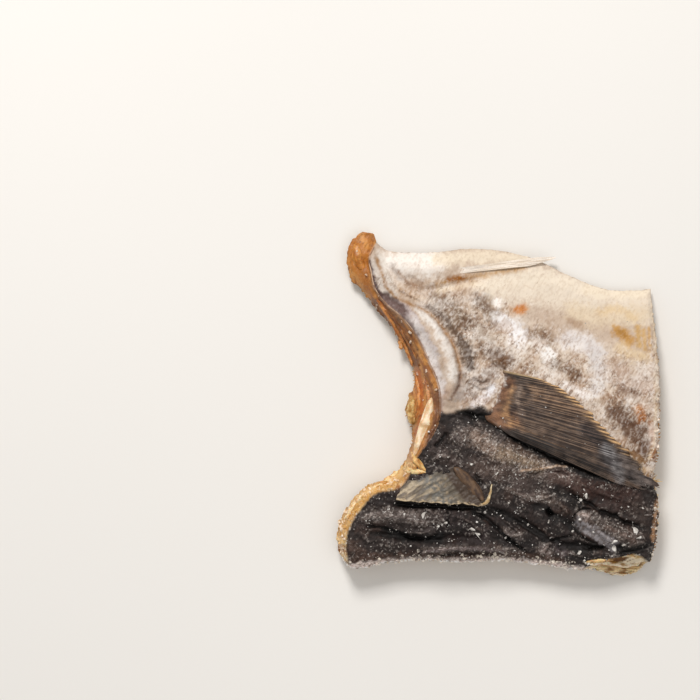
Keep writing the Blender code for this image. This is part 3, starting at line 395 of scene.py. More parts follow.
BACK_PATCHES = (
    ("slate shoulder", "#3a322f", 0.8, 2.9, 2.3, ((-24, -8), (-16, -12), (-10, -17))),
    ("dusty shoulder", "#544b47", 0.7, 2, 1.6, ((-22, -14), (-18, -17), (-14, -20))),
    ("haze under the fin", "#7b6b5c", 0.85, 2.6, 2, ((-8, -11), (-4, -14), (1, -16))),
    ("haze, tail side", "#77684f", 0.8, 2, 2, ((0, -16), (6, -18), (13, -20))),
    ("haze, below", "#655850", 0.8, 2.9, 2.3, ((-8, -20), (0, -22), (6, -24))),
    ("brown under the fin", "#4e3c2c", 0.85, 1.6, 1.3, ((3, -13), (10, -16), (16, -18))),
    ("dusty ridge", "#4e4541", 0.8, 3.2, 2.6, ((4, -25), (10, -28), (16, -31))),
    ("dusty ridge, light", "#81776f", 0.6, 1.3, 1.3, ((11.7, -29.2), (16.9, -31.2))),
    ("red-brown", "#3a241c", 0.95, 3.9, 2.3, ((18, -23), (29, -27), (41, -29))),
    ("red-brown, low", "#35241f", 0.9, 2.6, 2, ((31, -31), (41, -33))),
    # painted shade in a valley between the back's folds
    ("black valley, painted shade", "#140d0b", 0.95, 2, 1.6, ((18, -27), (23, -31), (27, -34))),
    # painted shadow under the pectoral fin's lifted lower edge
    ("painted black shadow under the fin", "#120c0a", 1, 0.98, 0.65, (
        (-13, -1.3), (-7.2, -3.2), (-1.3, -7.2), (3.9, -10.7), (9.8, -14.6), (19.5, -19.5), (27.6, -22.8),
        (36.4, -25))),
    ("black by the gill", "#1f1816", 0.95, 2, 1.6, ((-21, -5), (-15, -3), (-10, -4))),
    # painted highlight along a thin raised wrinkle below the fin
    ("crease, painted highlight", "#b19c82", 0.9, 0.33, 0.26, ((6.5, -21.4), (13, -20.8), (18.2, -19.8), (21.4, -20.2))),
    ("purple-dark", "#2b2122", 0.85, 3.9, 2.6, ((-20, -37), (-12, -40), (-5, -42))),
    ("dark upper left", "#241b1a", 0.9, 1.6, 1.3, ((-44, -31), (-36, -31), (-27, -32))),
    # painted shadow below the membrane flap's lifted edge
    ("painted black shadow below the flap", "#17100f", 0.7, 0.78, 0.52, (
        (-31.9, -32.2), (-22.8, -32.8), (-13, -33.1), (-5.2, -33.1))),
    ("ridge, grey", "#443d3b", 0.85, 2.6, 1.6, ((-47, -38), (-42, -36), (-35, -36), (-29, -38), (-23, -40))),
    # painted shade in a groove of the back's wrinkles
    ("groove, painted black shade", "#120d0c", 0.95, 1.3, 0.98, (
        (-37.7, -40.3), (-31.9, -42.2), (-26.7, -43.2), (-20.2, -42.9))),
    # painted shade where the same groove runs on
    ("groove further on, painted shade", "#1b1413", 0.85, 1.3, 1.3, ((-20.2, -42.2), (-13, -40.3), (-6.5, -37.7))),
    ("left end, brown", "#5d4c42", 0.8, 2.3, 1.3, ((-48, -46), (-44, -50), (-38, -51))),
    # painted soft highlight along a raised wrinkle near the back
    ("painted highlight along the back's ridge", "#7b7173", 0.85, 0.52, 0.49, (
        (-26, -48.4), (-22.1, -47.5), (-15.6, -46.8), (-6.5, -46.8), (1.3, -48.1))),
    # painted shade in a valley between the back's folds
    ("dark valley, painted shade", "#1c1413", 0.9, 3.2, 2.3, ((-1, -41), (4, -44), (10, -47))),
    ("grey ridge, middle", "#7a726e", 0.8, 0.98, 0.81, ((1, -40.3), (3.9, -41.9), (6.5, -42.9))),
    ("light crumbly fold", "#8f8681", 0.8, 1.6, 1.3, ((14, -47), (16, -49))),
    ("grey fold", "#6c6466", 0.85, 1.3, 0.98, ((18.2, -46.1), (21.4, -48.8))),
    # painted shade in a deep hollow of the back
    ("painted black shade in the hollow", "#040302", 1, 0.98, 0.49, ((15.6, -34.1), (16.2, -35.4))),
    ("dark by the hollow", "#211816", 0.8, 2, 1.6, ((12, -37), (17, -40), (21, -44))),
    ("slate patch", "#8d8f92", 1, 2, 0.49, ((26, -38.4), (29.2, -41), (33.1, -43.6), (36.1, -45.5))),
    ("slate head", "#a29a94", 0.85, 1.3, 0.65, ((25.4, -35.4), (27.9, -36.4))),
    ("brown band", "#4f3d34", 0.85, 0.85, 0.85, ((33.8, -39.6), (38.4, -41.6), (43.6, -44.2))),
    # painted shade in a narrow slot between folds
    ("painted black shade in the slot", "#0c0706", 1, 0.65, 0.49, ((29.2, -46.1), (33.1, -46.1))),
    ("black tail end", "#15100e", 0.9, 1.3, 0.98, ((37.7, -46.5), (43.6, -46.8), (48.1, -45.8))),
    ("dark tail flank", "#3e332d", 0.85, 2.9, 2, ((44, -34), (46, -41))),
    ("black over the gold", "#150e0c", 0.9, 0.81, 0.65, (
        (21.4, -49.4), (28.6, -50.1), (35.8, -48.8), (44.2, -47.5))),
    ("gold at the cut rim", "#bd9468", 0.85, 0.65, 0.52, ((50.7, -31.2), (49.4, -44.2))),
    ("brown by the rim", "#5a463a", 0.7, 1.6, 0.98, (
        (-48.8, -51.4), (-39, -50.1), (-26, -49.4), (-9.8, -49.7), (0.7, -49.4), (9.8, -49.7),
        (18.2, -50.7))),
    ("pale back rim", "#fffaf4", 1, 1.2, 0.72, (
        (-48.8, -53), (-39, -51.7), (-26, -51), (-9.8, -51.5), (0.7, -51), (9.8, -51.5), (18.2, -52.6),
        (30.6, -54.3))),
)
FLESH_PATCHES = (
    ("throat lump", "#b06a1a", 0.95, 4, 1.6, ((-45.5, 53.3), (-44.9, 46.1))),
    # painted highlight on the glossy throat lump
    ("painted highlight on the throat lump", "#d0924c", 0.7, 0.9, 1, ((-44.9, 54.6), (-43.6, 51.4))),
    ("throat, low", "#a06226", 0.8, 1.6, 1.2, ((-44.9, 44.9), (-43.6, 39.6), (-41.6, 36.4))),
    ("band, brown", "#754828", 0.95, 2, 1, ((-39.6, 32.8), (-35.1, 27.3), (-31.2, 20.2), (-27.9, 13.7))),
    ("band, amber", "#a9682c", 0.8, 0.8, 0.6, ((-39, 31.9), (-34.5, 27.3), (-31.9, 23.4))),
    ("band, dark", "#5e3a24", 0.7, 0.35, 0.35, ((-33.1, 27.9), (-29.2, 22.8), (-26.7, 17.6))),
    ("band, orange", "#a8642e", 0.9, 1.4, 1, ((-27, 10.4), (-26, 5.2), (-26.7, 0.7))),
    ("band, purple-brown", "#7d5238", 0.8, 0.8, 0.7, ((-24.7, 11.7), (-22.8, 6.5), (-21.4, 0.7))),
    ("yellow lump", "#c2924c", 0.95, 1.6, 0.9, ((-29.6, 1.3), (-30.2, -2.6), (-28.9, -6.5))),
    ("band, low", "#b57f48", 0.9, 1.4, 1, ((-27, -6.8), (-28.3, -11.7), (-29.9, -16.6))),
    ("brown by the bone", "#6b4330", 0.85, 1.1, 0.9, ((-20.4, 4), (-20.4, -2), (-21.2, -6.5), (-23.4, -12))),
    ("orange by the bone", "#b5632b", 0.85, 0.7, 0.6, ((-26.3, 10), (-25.4, 4), (-25.6, -3), (-27.4, -10))),
    ("nape flesh", "#c9974f", 0.95, 2.4, 1, (
        (-31.9, -18.9), (-33.1, -22.8), (-37.1, -26), (-42.2, -27.9), (-48.1, -33.1), (-52.6, -41))),
    # painted highlight along the nape flesh
    ("painted highlight along the nape", "#e9be7c", 0.8, 0.6, 0.6, (
        (-31.2, -17.6), (-32.5, -22.8), (-36.4, -25.4), (-41.6, -27.3), (-46.1, -31.2))),
    ("nape, branch", "#cf9b54", 0.9, 0.9, 0.6, ((-27.9, -20.2), (-24.7, -21.8))),
)
LEDGE_PATCHES = (
    ("gold", "#d2b07a", 0.95, 4, 1.2, ((29.2, -54), (37.4, -54.6), (45.5, -52.3))),
    ("gold, bright", "#e3cb9c", 0.8, 0.7, 0.7, ((32.5, -54.6), (39, -55.6), (45.5, -54.6))),
    ("gold, brown", "#5f3d1f", 0.95, 0.7, 0.5, ((37.8, -51.2), (42, -50.6), (46.2, -51.4))),
)
FIN_PATCHES = (
    ("rust-brown root", "#7b5438", 0.95, 3.2, 2.4, ((1.4, 7), (-1.4, 0.4), (-2.4, -3), (2.6, -6))),
    ("tan root", "#a07a50", 0.8, 1.1, 1.6, ((3.6, 4.6), (2.4, 0.4), (1, -3.4), (3.6, -6))),
    ("dusty root", "#86766a", 0.6, 0.9, 0.8, ((6, 5.6), (5.4, 1), (6.6, -3.4))),
    ("dark head", "#2c211b", 0.85, 1.4, 1.2, ((2.2, 10), (5.6, 9.2), (10.4, 7.6))),
    ("brown middle", "#6e553f", 0.6, 2, 2.4, ((10, 4.4), (18, 0.6), (25, -3))),
    ("brown streak", "#70543a", 0.75, 0.7, 0.7, ((4.4, -6.8), (12, -10.4), (20.4, -13.6))),
    ("dark lower half", "#1f1612", 0.8, 2.2, 1.8, ((10, -11), (20, -15.6), (32, -20.4))),
    ("black lower edge", "#170f0d", 0.95, 1.3, 0.9, ((3.6, -8.8), (12, -13.6), (22, -19), (34, -23.2))),
    ("dark before the slate", "#211719", 0.92, 2.6, 1.8, ((27.6, -8.4), (33, -13), (35, -19))),
    ("slate tip", "#57504e", 0.92, 2.8, 1, ((38.4, -16.8), (42.4, -21), (47.4, -25.6))),
    ("slate, light", "#6c6e72", 0.75, 2, 1.4, ((34.4, -14.2), (36.6, -19), (38.8, -24))),
    ("slate, dark end", "#3d3838", 0.7, 1.3, 1, ((42, -23.6), (47.6, -26))),
)


# ---- Curves, distances and noise ----
def smooth_curve(points, spacing):
    """Points about spacing apart on the Catmull-Rom curve through points."""
    given = np.array(points, float)
    padded = np.vstack([2 * given[0] - given[1], given, 2 * given[-1] - given[-2]])
    share = np.linspace(0, 1, 16, endpoint=False)[:, None]
    fine = []
    for before, start, end, after in zip(padded[:-3], padded[1:-2], padded[2:-1], padded[3:]):
        fine.append(
            start
            + 0.5 * share * (end - before)
            + share**2 * (before - 2.5 * start + 2 * end - 0.5 * after)
            + share**3 * (1.5 * (start - end) + 0.5 * (after - before))
        )
    fine = np.vstack(fine + [padded[-2:-1]])
    along = np.concatenate([[0], np.cumsum(np.linalg.norm(np.diff(fine, axis=0), axis=1))])
    count = max(2, round(along[-1] / spacing) + 1)
    even = np.linspace(0, along[-1], count)
    return np.column_stack([np.interp(even, along, fine[:, axis]) for axis in range(2)])


def to_line(points, line):
    """Distance from each point to the line, its side (+1 to the left) and its share along the line."""
    line = np.asarray(line, float)
    starts, steps = line[:-1], np.diff(line, axis=0)
    found = []
    for some in np.array_split(points, len(points) // 4000 + 1):
        offset = some[:, None, :] - starts
        share = np.clip((offset * steps).sum(2) / (steps**2).sum(1), 0, 1)
        gap = offset - share[:, :, None] * steps
        distance = np.linalg.norm(gap, axis=2)
        best = distance.argmin(1)
        rows = np.arange(len(some))
        near, step = gap[rows, best], steps[best]
        side = np.sign(step[:, 0] * near[:, 1] - step[:, 1] * near[:, 0])
        found.append(np.column_stack([distance[rows, best], side, (best + share[rows, best]) / len(starts)]))
    return np.vstack(found).T


def inside(points, loop):
    """True for each point inside the closed loop."""
    ax, ay = loop[:, 0], loop[:, 1]
    bx, by = np.roll(ax, -1), np.roll(ay, -1)
    slope = (bx - ax) / np.where(by == ay, 1e-9, by - ay)
    found = []
    for some in np.array_split(points, len(points) // 4000 + 1):
        x, y = some[:, :1], some[:, 1:]
        crosses = (ay > y) != (by > y)
        found.append((crosses & (x < ax + (y - ay) * slope)).sum(1) % 2 == 1)
    return np.concatenate(found)


def step_up(value, low, high):
    """0 below low, 1 above high, and smooth between."""
    share = np.clip((value - low) / (high - low), 0, 1)
    return share * share * (3 - 2 * share)


def roughness(points, size, seed):
    """Smooth noise of about -1 to 1 over the plane, with features of that size."""
    return np.array([noise.noise(Vector((x / size, y / size, seed))) for x, y in points])


def fractal(points, size, seed, octaves=4, turn=0, stretch=1):
    """Noise of about -1 to 1 with finer and finer detail, drawn out stretch times along the turned X axis."""
    angle = math.radians(turn)
    x = (points[:, 0] * math.cos(angle) + points[:, 1] * math.sin(angle)) / size / stretch
    y = (points[:, 1] * math.cos(angle) - points[:, 0] * math.sin(angle)) / size
    z = points[:, 2] / size if points.shape[1] > 2 else np.zeros(len(points))
    made = [noise.fractal(Vector(p), 1, 2, octaves) for p in zip(x + seed, y - seed, z + seed)]
    return np.clip(np.array(made), -1.5, 1.5)


def linear(hue):
    """An sRGB hex colour as linear red, green and blue."""
    code = np.array([int(hue[i : i + 2], 16) for i in (1, 3, 5)]) / 255
    return np.where(code <= 0.04045, code / 12.92, ((code + 0.055) / 1.055) ** 2.4)


# ---- Heights of the fish ----
EDGES = (HEAD_EDGE, BACK_EDGE, CUT_EDGE, BELLY_MARGIN)
OUTLINE = np.vstack([smooth_curve(edge, COARSE_RIM)[:-1] for edge in EDGES])
CLOSED_OUTLINE = np.vstack([OUTLINE, OUTLINE[:1]])
LIP = smooth_curve(GILL_LIP, 1.5)
LOIN = smooth_curve(LOIN_LIP, 1.5)
BELLY = smooth_curve(BELLY_MARGIN, 2)[::-1]
BACK = smooth_curve(BACK_EDGE, 2)
ALL_FOLDS = (*FOLDS, FIN_CREASE, *WRINKLES)


def across(points):
    """Share of the way from belly margin to back."""
    x, y = points.T
    belly_y = np.interp(x, BELLY[:, 0], BELLY[:, 1])
    back_y = np.interp(x, BACK[:, 0], BACK[:, 1])
    return np.clip((belly_y - y) / (belly_y - back_y), 0, 1)


def near_line(points, line, reach):
    """True for each point inside the line's box, grown by reach."""
    return ((points[:, :2] > np.min(line, 0) - reach) & (points[:, :2] < np.max(line, 0) + reach)).all(1)


def folded(points, folds=ALL_FOLDS):
    """How far the folds raise each point, or lower it; a narrow fold wanders a little."""
    height = np.zeros(len(points))
    drift = np.column_stack([fractal(points, 2.6, 6.4, 3), fractal(points, 2.6, 19.1, 3)])
    for rise, half_width, line in folds:
        near = near_line(points, line, 3 * half_width + 0.5)
        if near.any():
            wander = min(0.5, 0.7 * half_width) * drift[near]
            distance, _, along = to_line(points[near] + wander, smooth_curve(line, 2))
            ends = step_up(along, 0, 0.18) * step_up(1 - along, 0, 0.18)
            height[near] += rise * ends * np.exp(-((distance / half_width) ** 2))
    return height


def skin_height(points, folds):
    """Height of the skin over the table, with its folds."""
    shares, heights = np.array(THICKNESS).T
    height = np.interp(across(points), shares, heights)
    height *= HEAD_SHARE + (TAIL_SHARE - HEAD_SHARE) * np.clip(points[:, 0] / LENGTH_HALF / 2 + 0.5, 0, 1)
    height += folded(points, folds)
    return height + 0.35 * roughness(points, 7, 3.1) + 0.2 * roughness(points, 3.2, 8.7)


def zones(points):
    """How far each point is gill or nape flesh, and loin flesh, 0 to 1, and its distance to each lip."""
    from_lip, side, _ = to_line(points, LIP)
    from_loin, loin_side, _ = to_line(points, LOIN)
    return step_up(-side * from_lip, 0, 0.5), step_up(-loin_side * from_loin, 0, 0.5), from_lip, from_loin


def top_height(points, folds=ALL_FOLDS):
    """Height of the top, skin and bare flesh alike, over the table."""
    height = skin_height(points, folds)
    to_outline = to_line(points, CLOSED_OUTLINE)[0]
    height -= EDGE_ROUND * (1 - step_up(to_outline, 0, 2 * EDGE_ROUND)) ** 2
    on_flesh, on_ledge, from_lip, from_loin = zones(points)
    rise = 1 - (1 - to_outline / (to_outline + from_lip + 1e-6)) ** 2
    bare = FLESH_RIM_HEIGHT + (height - FLESH_STEP - FLESH_RIM_HEIGHT) * rise
    bare += 0.5 * roughness(points, 2.6, 1.3) * step_up(to_outline, 0, 2)
    height += (bare - height) * on_flesh
    ledge = LEDGE_HEIGHT * (0.45 + 0.55 * to_outline / (to_outline + from_loin + 1e-6))
    return height + (ledge - height) * on_ledge


def under_height(points):
    """Height of the underside over the table: nothing where it rests."""
    reach = np.linalg.norm((points - FLAT_CENTRE) / FLAT_HALF, axis=1)
    lift = EDGE_LIFT * step_up(reach, 1, 2.6)
    lift += (0.5 + 0.4 * roughness(points, 9, 5.5)) * step_up(reach, 1, 1.3)
    return np.minimum(lift, THINNEST * top_height(points))


def dark_share(points):
    """0 on the pale flank, 1 on the dark back, with a feathered border."""
    wander = points + 0.9 * np.column_stack([fractal(points, 3, 4.4), fractal(points, 3, 9.1)])
    distance, side, _ = to_line(wander, smooth_curve(SHADE_LINE, 1.5))
    return step_up(-side * distance, -0.6, 1.6)


# ---- Meshes ----
def lattice(loop, spacing, margin):
    """Points of a triangular lattice inside the loop, at least margin from it."""
    low, high = loop.min(0), loop.max(0)
    found = []
    for number, y in enumerate(np.arange(low[1], high[1], spacing * math.sqrt(0.75))):
        x = np.arange(low[0] + (number % 2) * spacing / 2, high[0], spacing)
        found.append(np.column_stack([x, np.full(len(x), y)]))
    found = np.vstack(found)
    found = found[inside(found, loop)]
    return found[to_line(found, np.vstack([loop[::2], loop[:1]]))[0] > margin]


def filled(loop, spacing, lines=()):
    """(points, triangles) that fill the loop, whose own points come first, with edges along the lines."""
    points, edges = [loop], []
    free = lattice(loop, spacing, 0.7 * spacing)
    for line in lines:
        kept = line[inside(line, loop)]
        kept = kept[to_line(kept, np.vstack([loop, loop[:1]]))[0] > 0.7 * spacing]
        free = free[to_line(free, kept)[0] > 0.5 * spacing]
        start = sum(map(len, points))
        edges += [(start + i, start + i + 1) for i in range(len(kept) - 1)]
        points.append(kept)
    points = np.vstack(points + [free])
    made = geometry.delaunay_2d_cdt([Vector(p) for p in points], edges, [list(range(len(loop)))], 1, 1e-6)
    return np.array([tuple(p) for p in made[0]]), np.array([tuple(face) for face in made[2]])


def left_of(step):
    """Unit vectors at right angles to the steps, to their left."""
    return np.column_stack([-step[:, 1], step[:, 0]]) / np.linalg.norm(step, axis=1)[:, None]


def offset_lines(line, away):
    """The line's two edges, that far to its left and right."""
    offset = away * left_of(np.gradient(line, axis=0))
    return line + offset, line - offset


def mesh_piece(name, points, faces, material, outwards=True):
    """An object from points in millimetres, with its faces turned outwards and shaded smooth."""
    mesh = bpy.data.meshes.new(name)
    mesh.from_pydata((np.asarray(points) * MM).tolist(), [], [list(map(int, face)) for face in faces])
    if outwards:
        work = bmesh.new()
        work.from_mesh(mesh)
        bmesh.ops.recalc_face_normals(work, faces=work.faces)
        work.to_mesh(mesh)
        work.free()
    mesh.shade_smooth()
    mesh.materials.append(material)
    made = bpy.data.objects.new(name, mesh)
    bpy.context.scene.collection.objects.link(made)
    return made


def give_paint(mesh, colours):
    """Stores each point's linear colour, which the materials read."""
    layer = mesh.attributes.new("paint", "FLOAT_COLOR", "POINT")
    layer.data.foreach_set("color", np.column_stack([colours, np.ones(len(colours))]).ravel())


def give_value(mesh, name, values):
    """Stores a number for each point."""
    layer = mesh.attributes.new(name, "FLOAT", "POINT")
    layer.data.foreach_set("value", np.asarray(values, np.float32))


def hand_over(piece):
    """Lets the piece ride on the fish's body."""
    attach(piece, BODY)


# ---- Painting ----
def painted(points, colours, patches, wander):
    """Lays each patch over the colours, its edge wandering by that many mm, a narrow one's by less."""
    colours = np.array(np.broadcast_to(colours, (len(points), 3)))
    drift = np.column_stack([fractal(points, 2.2, 14.4), fractal(points, 2.2, 29.1)])
    fray = fractal(points, 0.8, 55.5, 4)
    for _, hue, strength, half_width, soft, line in patches:
        near = near_line(points, line, half_width + 2 * soft + 1.5)
        if near.any():
            places = points[near, :2] + min(wander, 0.5 * half_width) * drift[near]
            distance = to_line(places, line)[0] + 0.6 * soft * fray[near]
            share = strength * (1 - step_up(distance, half_width - soft, half_width + 0.8 * soft))
            colours[near] += share[:, None] * (linear(hue) - colours[near])
    return colours


def ridged(points, size, seed, octaves, turn=0, stretch=1):
    """Noise that is 1 along thin crooked lines and falls to about -1 between them."""
    return 1 - 2 * np.abs(fractal(points, size, seed, octaves, turn, stretch))


def spots(points, size, seed, octaves, low, high):
    """Noise as spots of that size: 0 where it is below low, 1 above high, and soft between."""
    return step_up(fractal(points, size, seed, octaves), low, high)


def mixed(first, second, share):
    """The first hue turned into the second by each point's share; either may be a hex code."""
    first, second = (linear(hue) if isinstance(hue, str) else np.asarray(hue) for hue in (first, second))
    return first + (second - first) * np.asarray(share)[:, None]


# ---- Materials ----
def set_inputs(tree, node, inputs):
    """Sets each input of the node to a value, or links it to a socket."""
    for name, value in inputs.items():
        if isinstance(value, bpy.types.NodeSocket):
            tree.links.new(value, node.inputs[name])
        else:
            node.inputs[name].default_value = value


def add_node(tree, kind, settings=None, inputs=None):
    """Adds a node with its own settings and its inputs."""
    node = tree.nodes.new(kind)
    for name, value in (settings or {}).items():
        setattr(node, name, value)
    set_inputs(tree, node, inputs or {})
    return node


def new_material(name):
    """(material, tree, Principled shader, place in the piece's own axes) of a new material."""
    material = bpy.data.materials.new(name)
    material.use_nodes = True
    tree = material.node_tree
    place = add_node(tree, "ShaderNodeTexCoord").outputs["Object"]
    return material, tree, tree.nodes["Principled BSDF"], place


def dried_skin():
    """Saithe skin, salted and air-dried: leathery, its pigment broken up by specks of salt frost.

    The paint attribute holds the local hue. Speckle breaks it up into darker pigment, salt into white
    frost, and glaze gives bare flesh its wet-looking shine.
    """
    skin = bpy.context.scene.cutlet_skin
    material, tree, shader, place = new_material("dried saithe skin and flesh")
    paint = add_node(tree, "ShaderNodeAttribute", {"attribute_name": "paint"}).outputs["Color"]
    speckle, salt, wet = (
        add_node(tree, "ShaderNodeAttribute", {"attribute_name": name}).outputs["Fac"]
        for name in ("speckle", "salt", "glaze")
    )
    # drawn out along the scales' rows, which slant up towards the tail
    strokes = add_node(tree, "ShaderNodeMapping", {"vector_type": "TEXTURE"}, {
        "Vector": place, "Rotation": (0, 0, math.radians(56)), "Scale": (2.5, 1, 1),
    }).outputs["Vector"]
    mottle = add_node(tree, "ShaderNodeTexNoise", inputs={
        "Vector": strokes, "Scale": 1 / skin.pigment_grain, "Detail": 4, "Roughness": 0.62, "Distortion": 0.3,
    }).outputs["Fac"]
    powder = add_node(tree, "ShaderNodeTexNoise", inputs={
        "Vector": place, "Scale": 1 / skin.frost_grain, "Detail": 6, "Roughness": 0.75, "Distortion": 0.4,
    }).outputs["Fac"]
    # the more speckle or salt, the more of the skin it covers
    broken, strewn_salt = (
        add_node(tree, "ShaderNodeMath", {"operation": "MULTIPLY_ADD"}, {
            0: amount, 1: weight, 2: grain,
        }).outputs[0]
        for amount, weight, grain in ((speckle, -0.25, mottle), (salt, 0.3, powder))
    )
    lightness = add_node(tree, "ShaderNodeRGBToBW", inputs={"Color": paint}).outputs["Val"]
    streak, dark_spots, light_spots, thickness, gloss, shine, coarseness = (
        add_node(tree, "ShaderNodeMapRange", inputs={
            "Value": value, "From Min": low, "From Max": high, "To Min": at_low, "To Max": at_high,
        }).outputs["Result"]
        for value, low, high, at_low, at_high in (
            (mottle, 0.38, 0.6, 0.68, 1.17),
            (broken, 0.36, 0.22, 0, 0.66),
            (strewn_salt, 0.68, 0.78, 0, 1),
            (lightness, 0, 0.5, 0.45, 0.9),
            (wet, 0, 1, 0.72, 0.36),
            (wet, 0, 1, 0.2, 0.45),
            (speckle, 0, 0.5, 0.35, 1),
        )
    )
    streaked = add_node(tree, "ShaderNodeVectorMath", {"operation": "SCALE"}, {0: paint, "Scale": streak})
    light_share = add_node(tree, "ShaderNodeMath", {"operation": "MULTIPLY"}, {0: light_spots, 1: thickness})
    hue = paint
    for blend, share, second in (
        ("MIX", speckle, streaked.outputs[0]),
        ("MULTIPLY", dark_spots, (*skin.pigment, 1)),
        ("MIX", light_share.outputs[0], (*skin.frost, 1)),
    ):
        hue = add_node(tree, "ShaderNodeMix", {"data_type": "RGBA", "blend_type": blend}, {
            0: share, 6: hue, 7: second,
        }).outputs[2]
    grainy = add_node(tree, "ShaderNodeMath", {"operation": "ADD"}, {0: mottle, 1: powder}).outputs[0]
    relief = add_node(tree, "ShaderNodeMath", {"operation": "MULTIPLY"}, {0: grainy, 1: coarseness})
    bump = add_node(tree, "ShaderNodeBump", inputs={
        "Height": relief.outputs[0], "Strength": 0.8, "Distance": 0.3 * MM,
    })
    set_inputs(tree, shader, {
        "Base Color": hue, "Roughness": gloss, "Specular IOR Level": shine, "Normal": bump.outputs["Normal"],
    })
    return material


def painted_material(name, roughness, grain, depth, speckle=0.25, glow=0):
    """Something dried that takes its hue from its paint, with a fine grain and maybe some inner glow."""
    material, tree, shader, place = new_material(name)
    paint = add_node(tree, "ShaderNodeAttribute", {"attribute_name": "paint"}).outputs["Color"]
    fibres = add_node(tree, "ShaderNodeTexNoise", inputs={
        "Vector": place, "Scale": 1 / (grain * MM), "Detail": 5, "Roughness": 0.7,
    }).outputs["Fac"]
    shade = add_node(tree, "ShaderNodeMapRange", inputs={
        "Value": fibres, "From Min": 0.3, "From Max": 0.7, "To Min": 1 - speckle, "To Max": 1 + speckle,
    }).outputs["Result"]
    hue = add_node(tree, "ShaderNodeVectorMath", {"operation": "SCALE"}, {0: paint, "Scale": shade})
    bump = add_node(tree, "ShaderNodeBump", inputs={
        "Height": fibres, "Strength": 0.5, "Distance": depth * MM,
    })
    set_inputs(tree, shader, {
        "Base Color": hue.outputs[0], "Normal": bump.outputs["Normal"], "Roughness": roughness,
        "Specular IOR Level": 0.4, "Subsurface Weight": glow, "Subsurface Scale": 1.5 * MM,
    })
    return material


def clouded_material(name, scale, detail, span, first, second, roughness, ior=1.5):
    """A finish whose first hue, or its paint where that is None, clouds over into the second.

    scale is clouds per metre; span is the noise at which the second hue starts and ends, and its most.
    """
    material, tree, shader, place = new_material(name)
    cloud = add_node(tree, "ShaderNodeTexNoise", inputs={"Vector": place, "Scale": scale, "Detail": detail})
    share = add_node(tree, "ShaderNodeMapRange", inputs={
        "Value": cloud.outputs["Fac"], "From Min": span[0], "From Max": span[1], "To Max": span[2],
    })
    if first is None:
        under = add_node(tree, "ShaderNodeAttribute", {"attribute_name": "paint"}).outputs["Color"]
    else:
        under = (*first, 1)
    hue = add_node(tree, "ShaderNodeMix", {"data_type": "RGBA"}, {
        0: share.outputs["Result"], 6: under, 7: (*second, 1),
    })
    set_inputs(tree, shader, {"Base Color": hue.outputs[2], "Roughness": roughness, "IOR": ior})
    return material


# ---- Geometry Nodes: tubes along paths, and grains strewn over a surface ----
def new_tree(name, sockets):
    """(tree, its inputs) with the given named inputs, a Material input and a Geometry output."""
    tree = bpy.data.node_groups.new(name, "GeometryNodeTree")
    tree.interface.new_socket("Geometry", in_out="INPUT", socket_type="NodeSocketGeometry")
    for label, kind in {**sockets, "Material": "Material"}.items():
        tree.interface.new_socket(label, in_out="INPUT", socket_type="NodeSocket" + kind)
    tree.interface.new_socket("Geometry", in_out="OUTPUT", socket_type="NodeSocketGeometry")
    return tree, tree.nodes.new("NodeGroupInput").outputs


def end_tree(tree, given, made):
    """Makes the instances real, gives them the material and hands them out."""
    real = add_node(tree, "GeometryNodeRealizeInstances", inputs={"Geometry": made})
    clad = add_node(tree, "GeometryNodeSetMaterial", inputs={
        "Geometry": real.outputs["Geometry"], "Material": given["Material"],
    })
    tree.links.new(clad.outputs["Geometry"], tree.nodes.new("NodeGroupOutput").inputs["Geometry"])
    return tree


def tubes_tree():
    """Turns edges into tubes whose radius is the point's girth times Radius."""
    tree, given = new_tree("tubes along paths", {"Radius": "Float", "Sides": "Int"})
    paths = add_node(tree, "GeometryNodeMeshToCurve", inputs={"Mesh": given["Geometry"]})
    girth = add_node(tree, "GeometryNodeInputNamedAttribute", {"data_type": "FLOAT"}, {"Name": "girth"})
    radius = add_node(tree, "ShaderNodeMath", {"operation": "MULTIPLY"}, {
        0: girth.outputs["Attribute"], 1: given["Radius"],
    })
    ring = add_node(tree, "GeometryNodeCurvePrimitiveCircle", inputs={
        "Resolution": given["Sides"], "Radius": 1,
    })
    tube = add_node(tree, "GeometryNodeCurveToMesh", inputs={
        "Curve": paths.outputs["Curve"], "Profile Curve": ring.outputs["Curve"], "Scale": radius.outputs[0],
        "Fill Caps": True,
    })
    return end_tree(tree, given, tube.outputs["Mesh"])


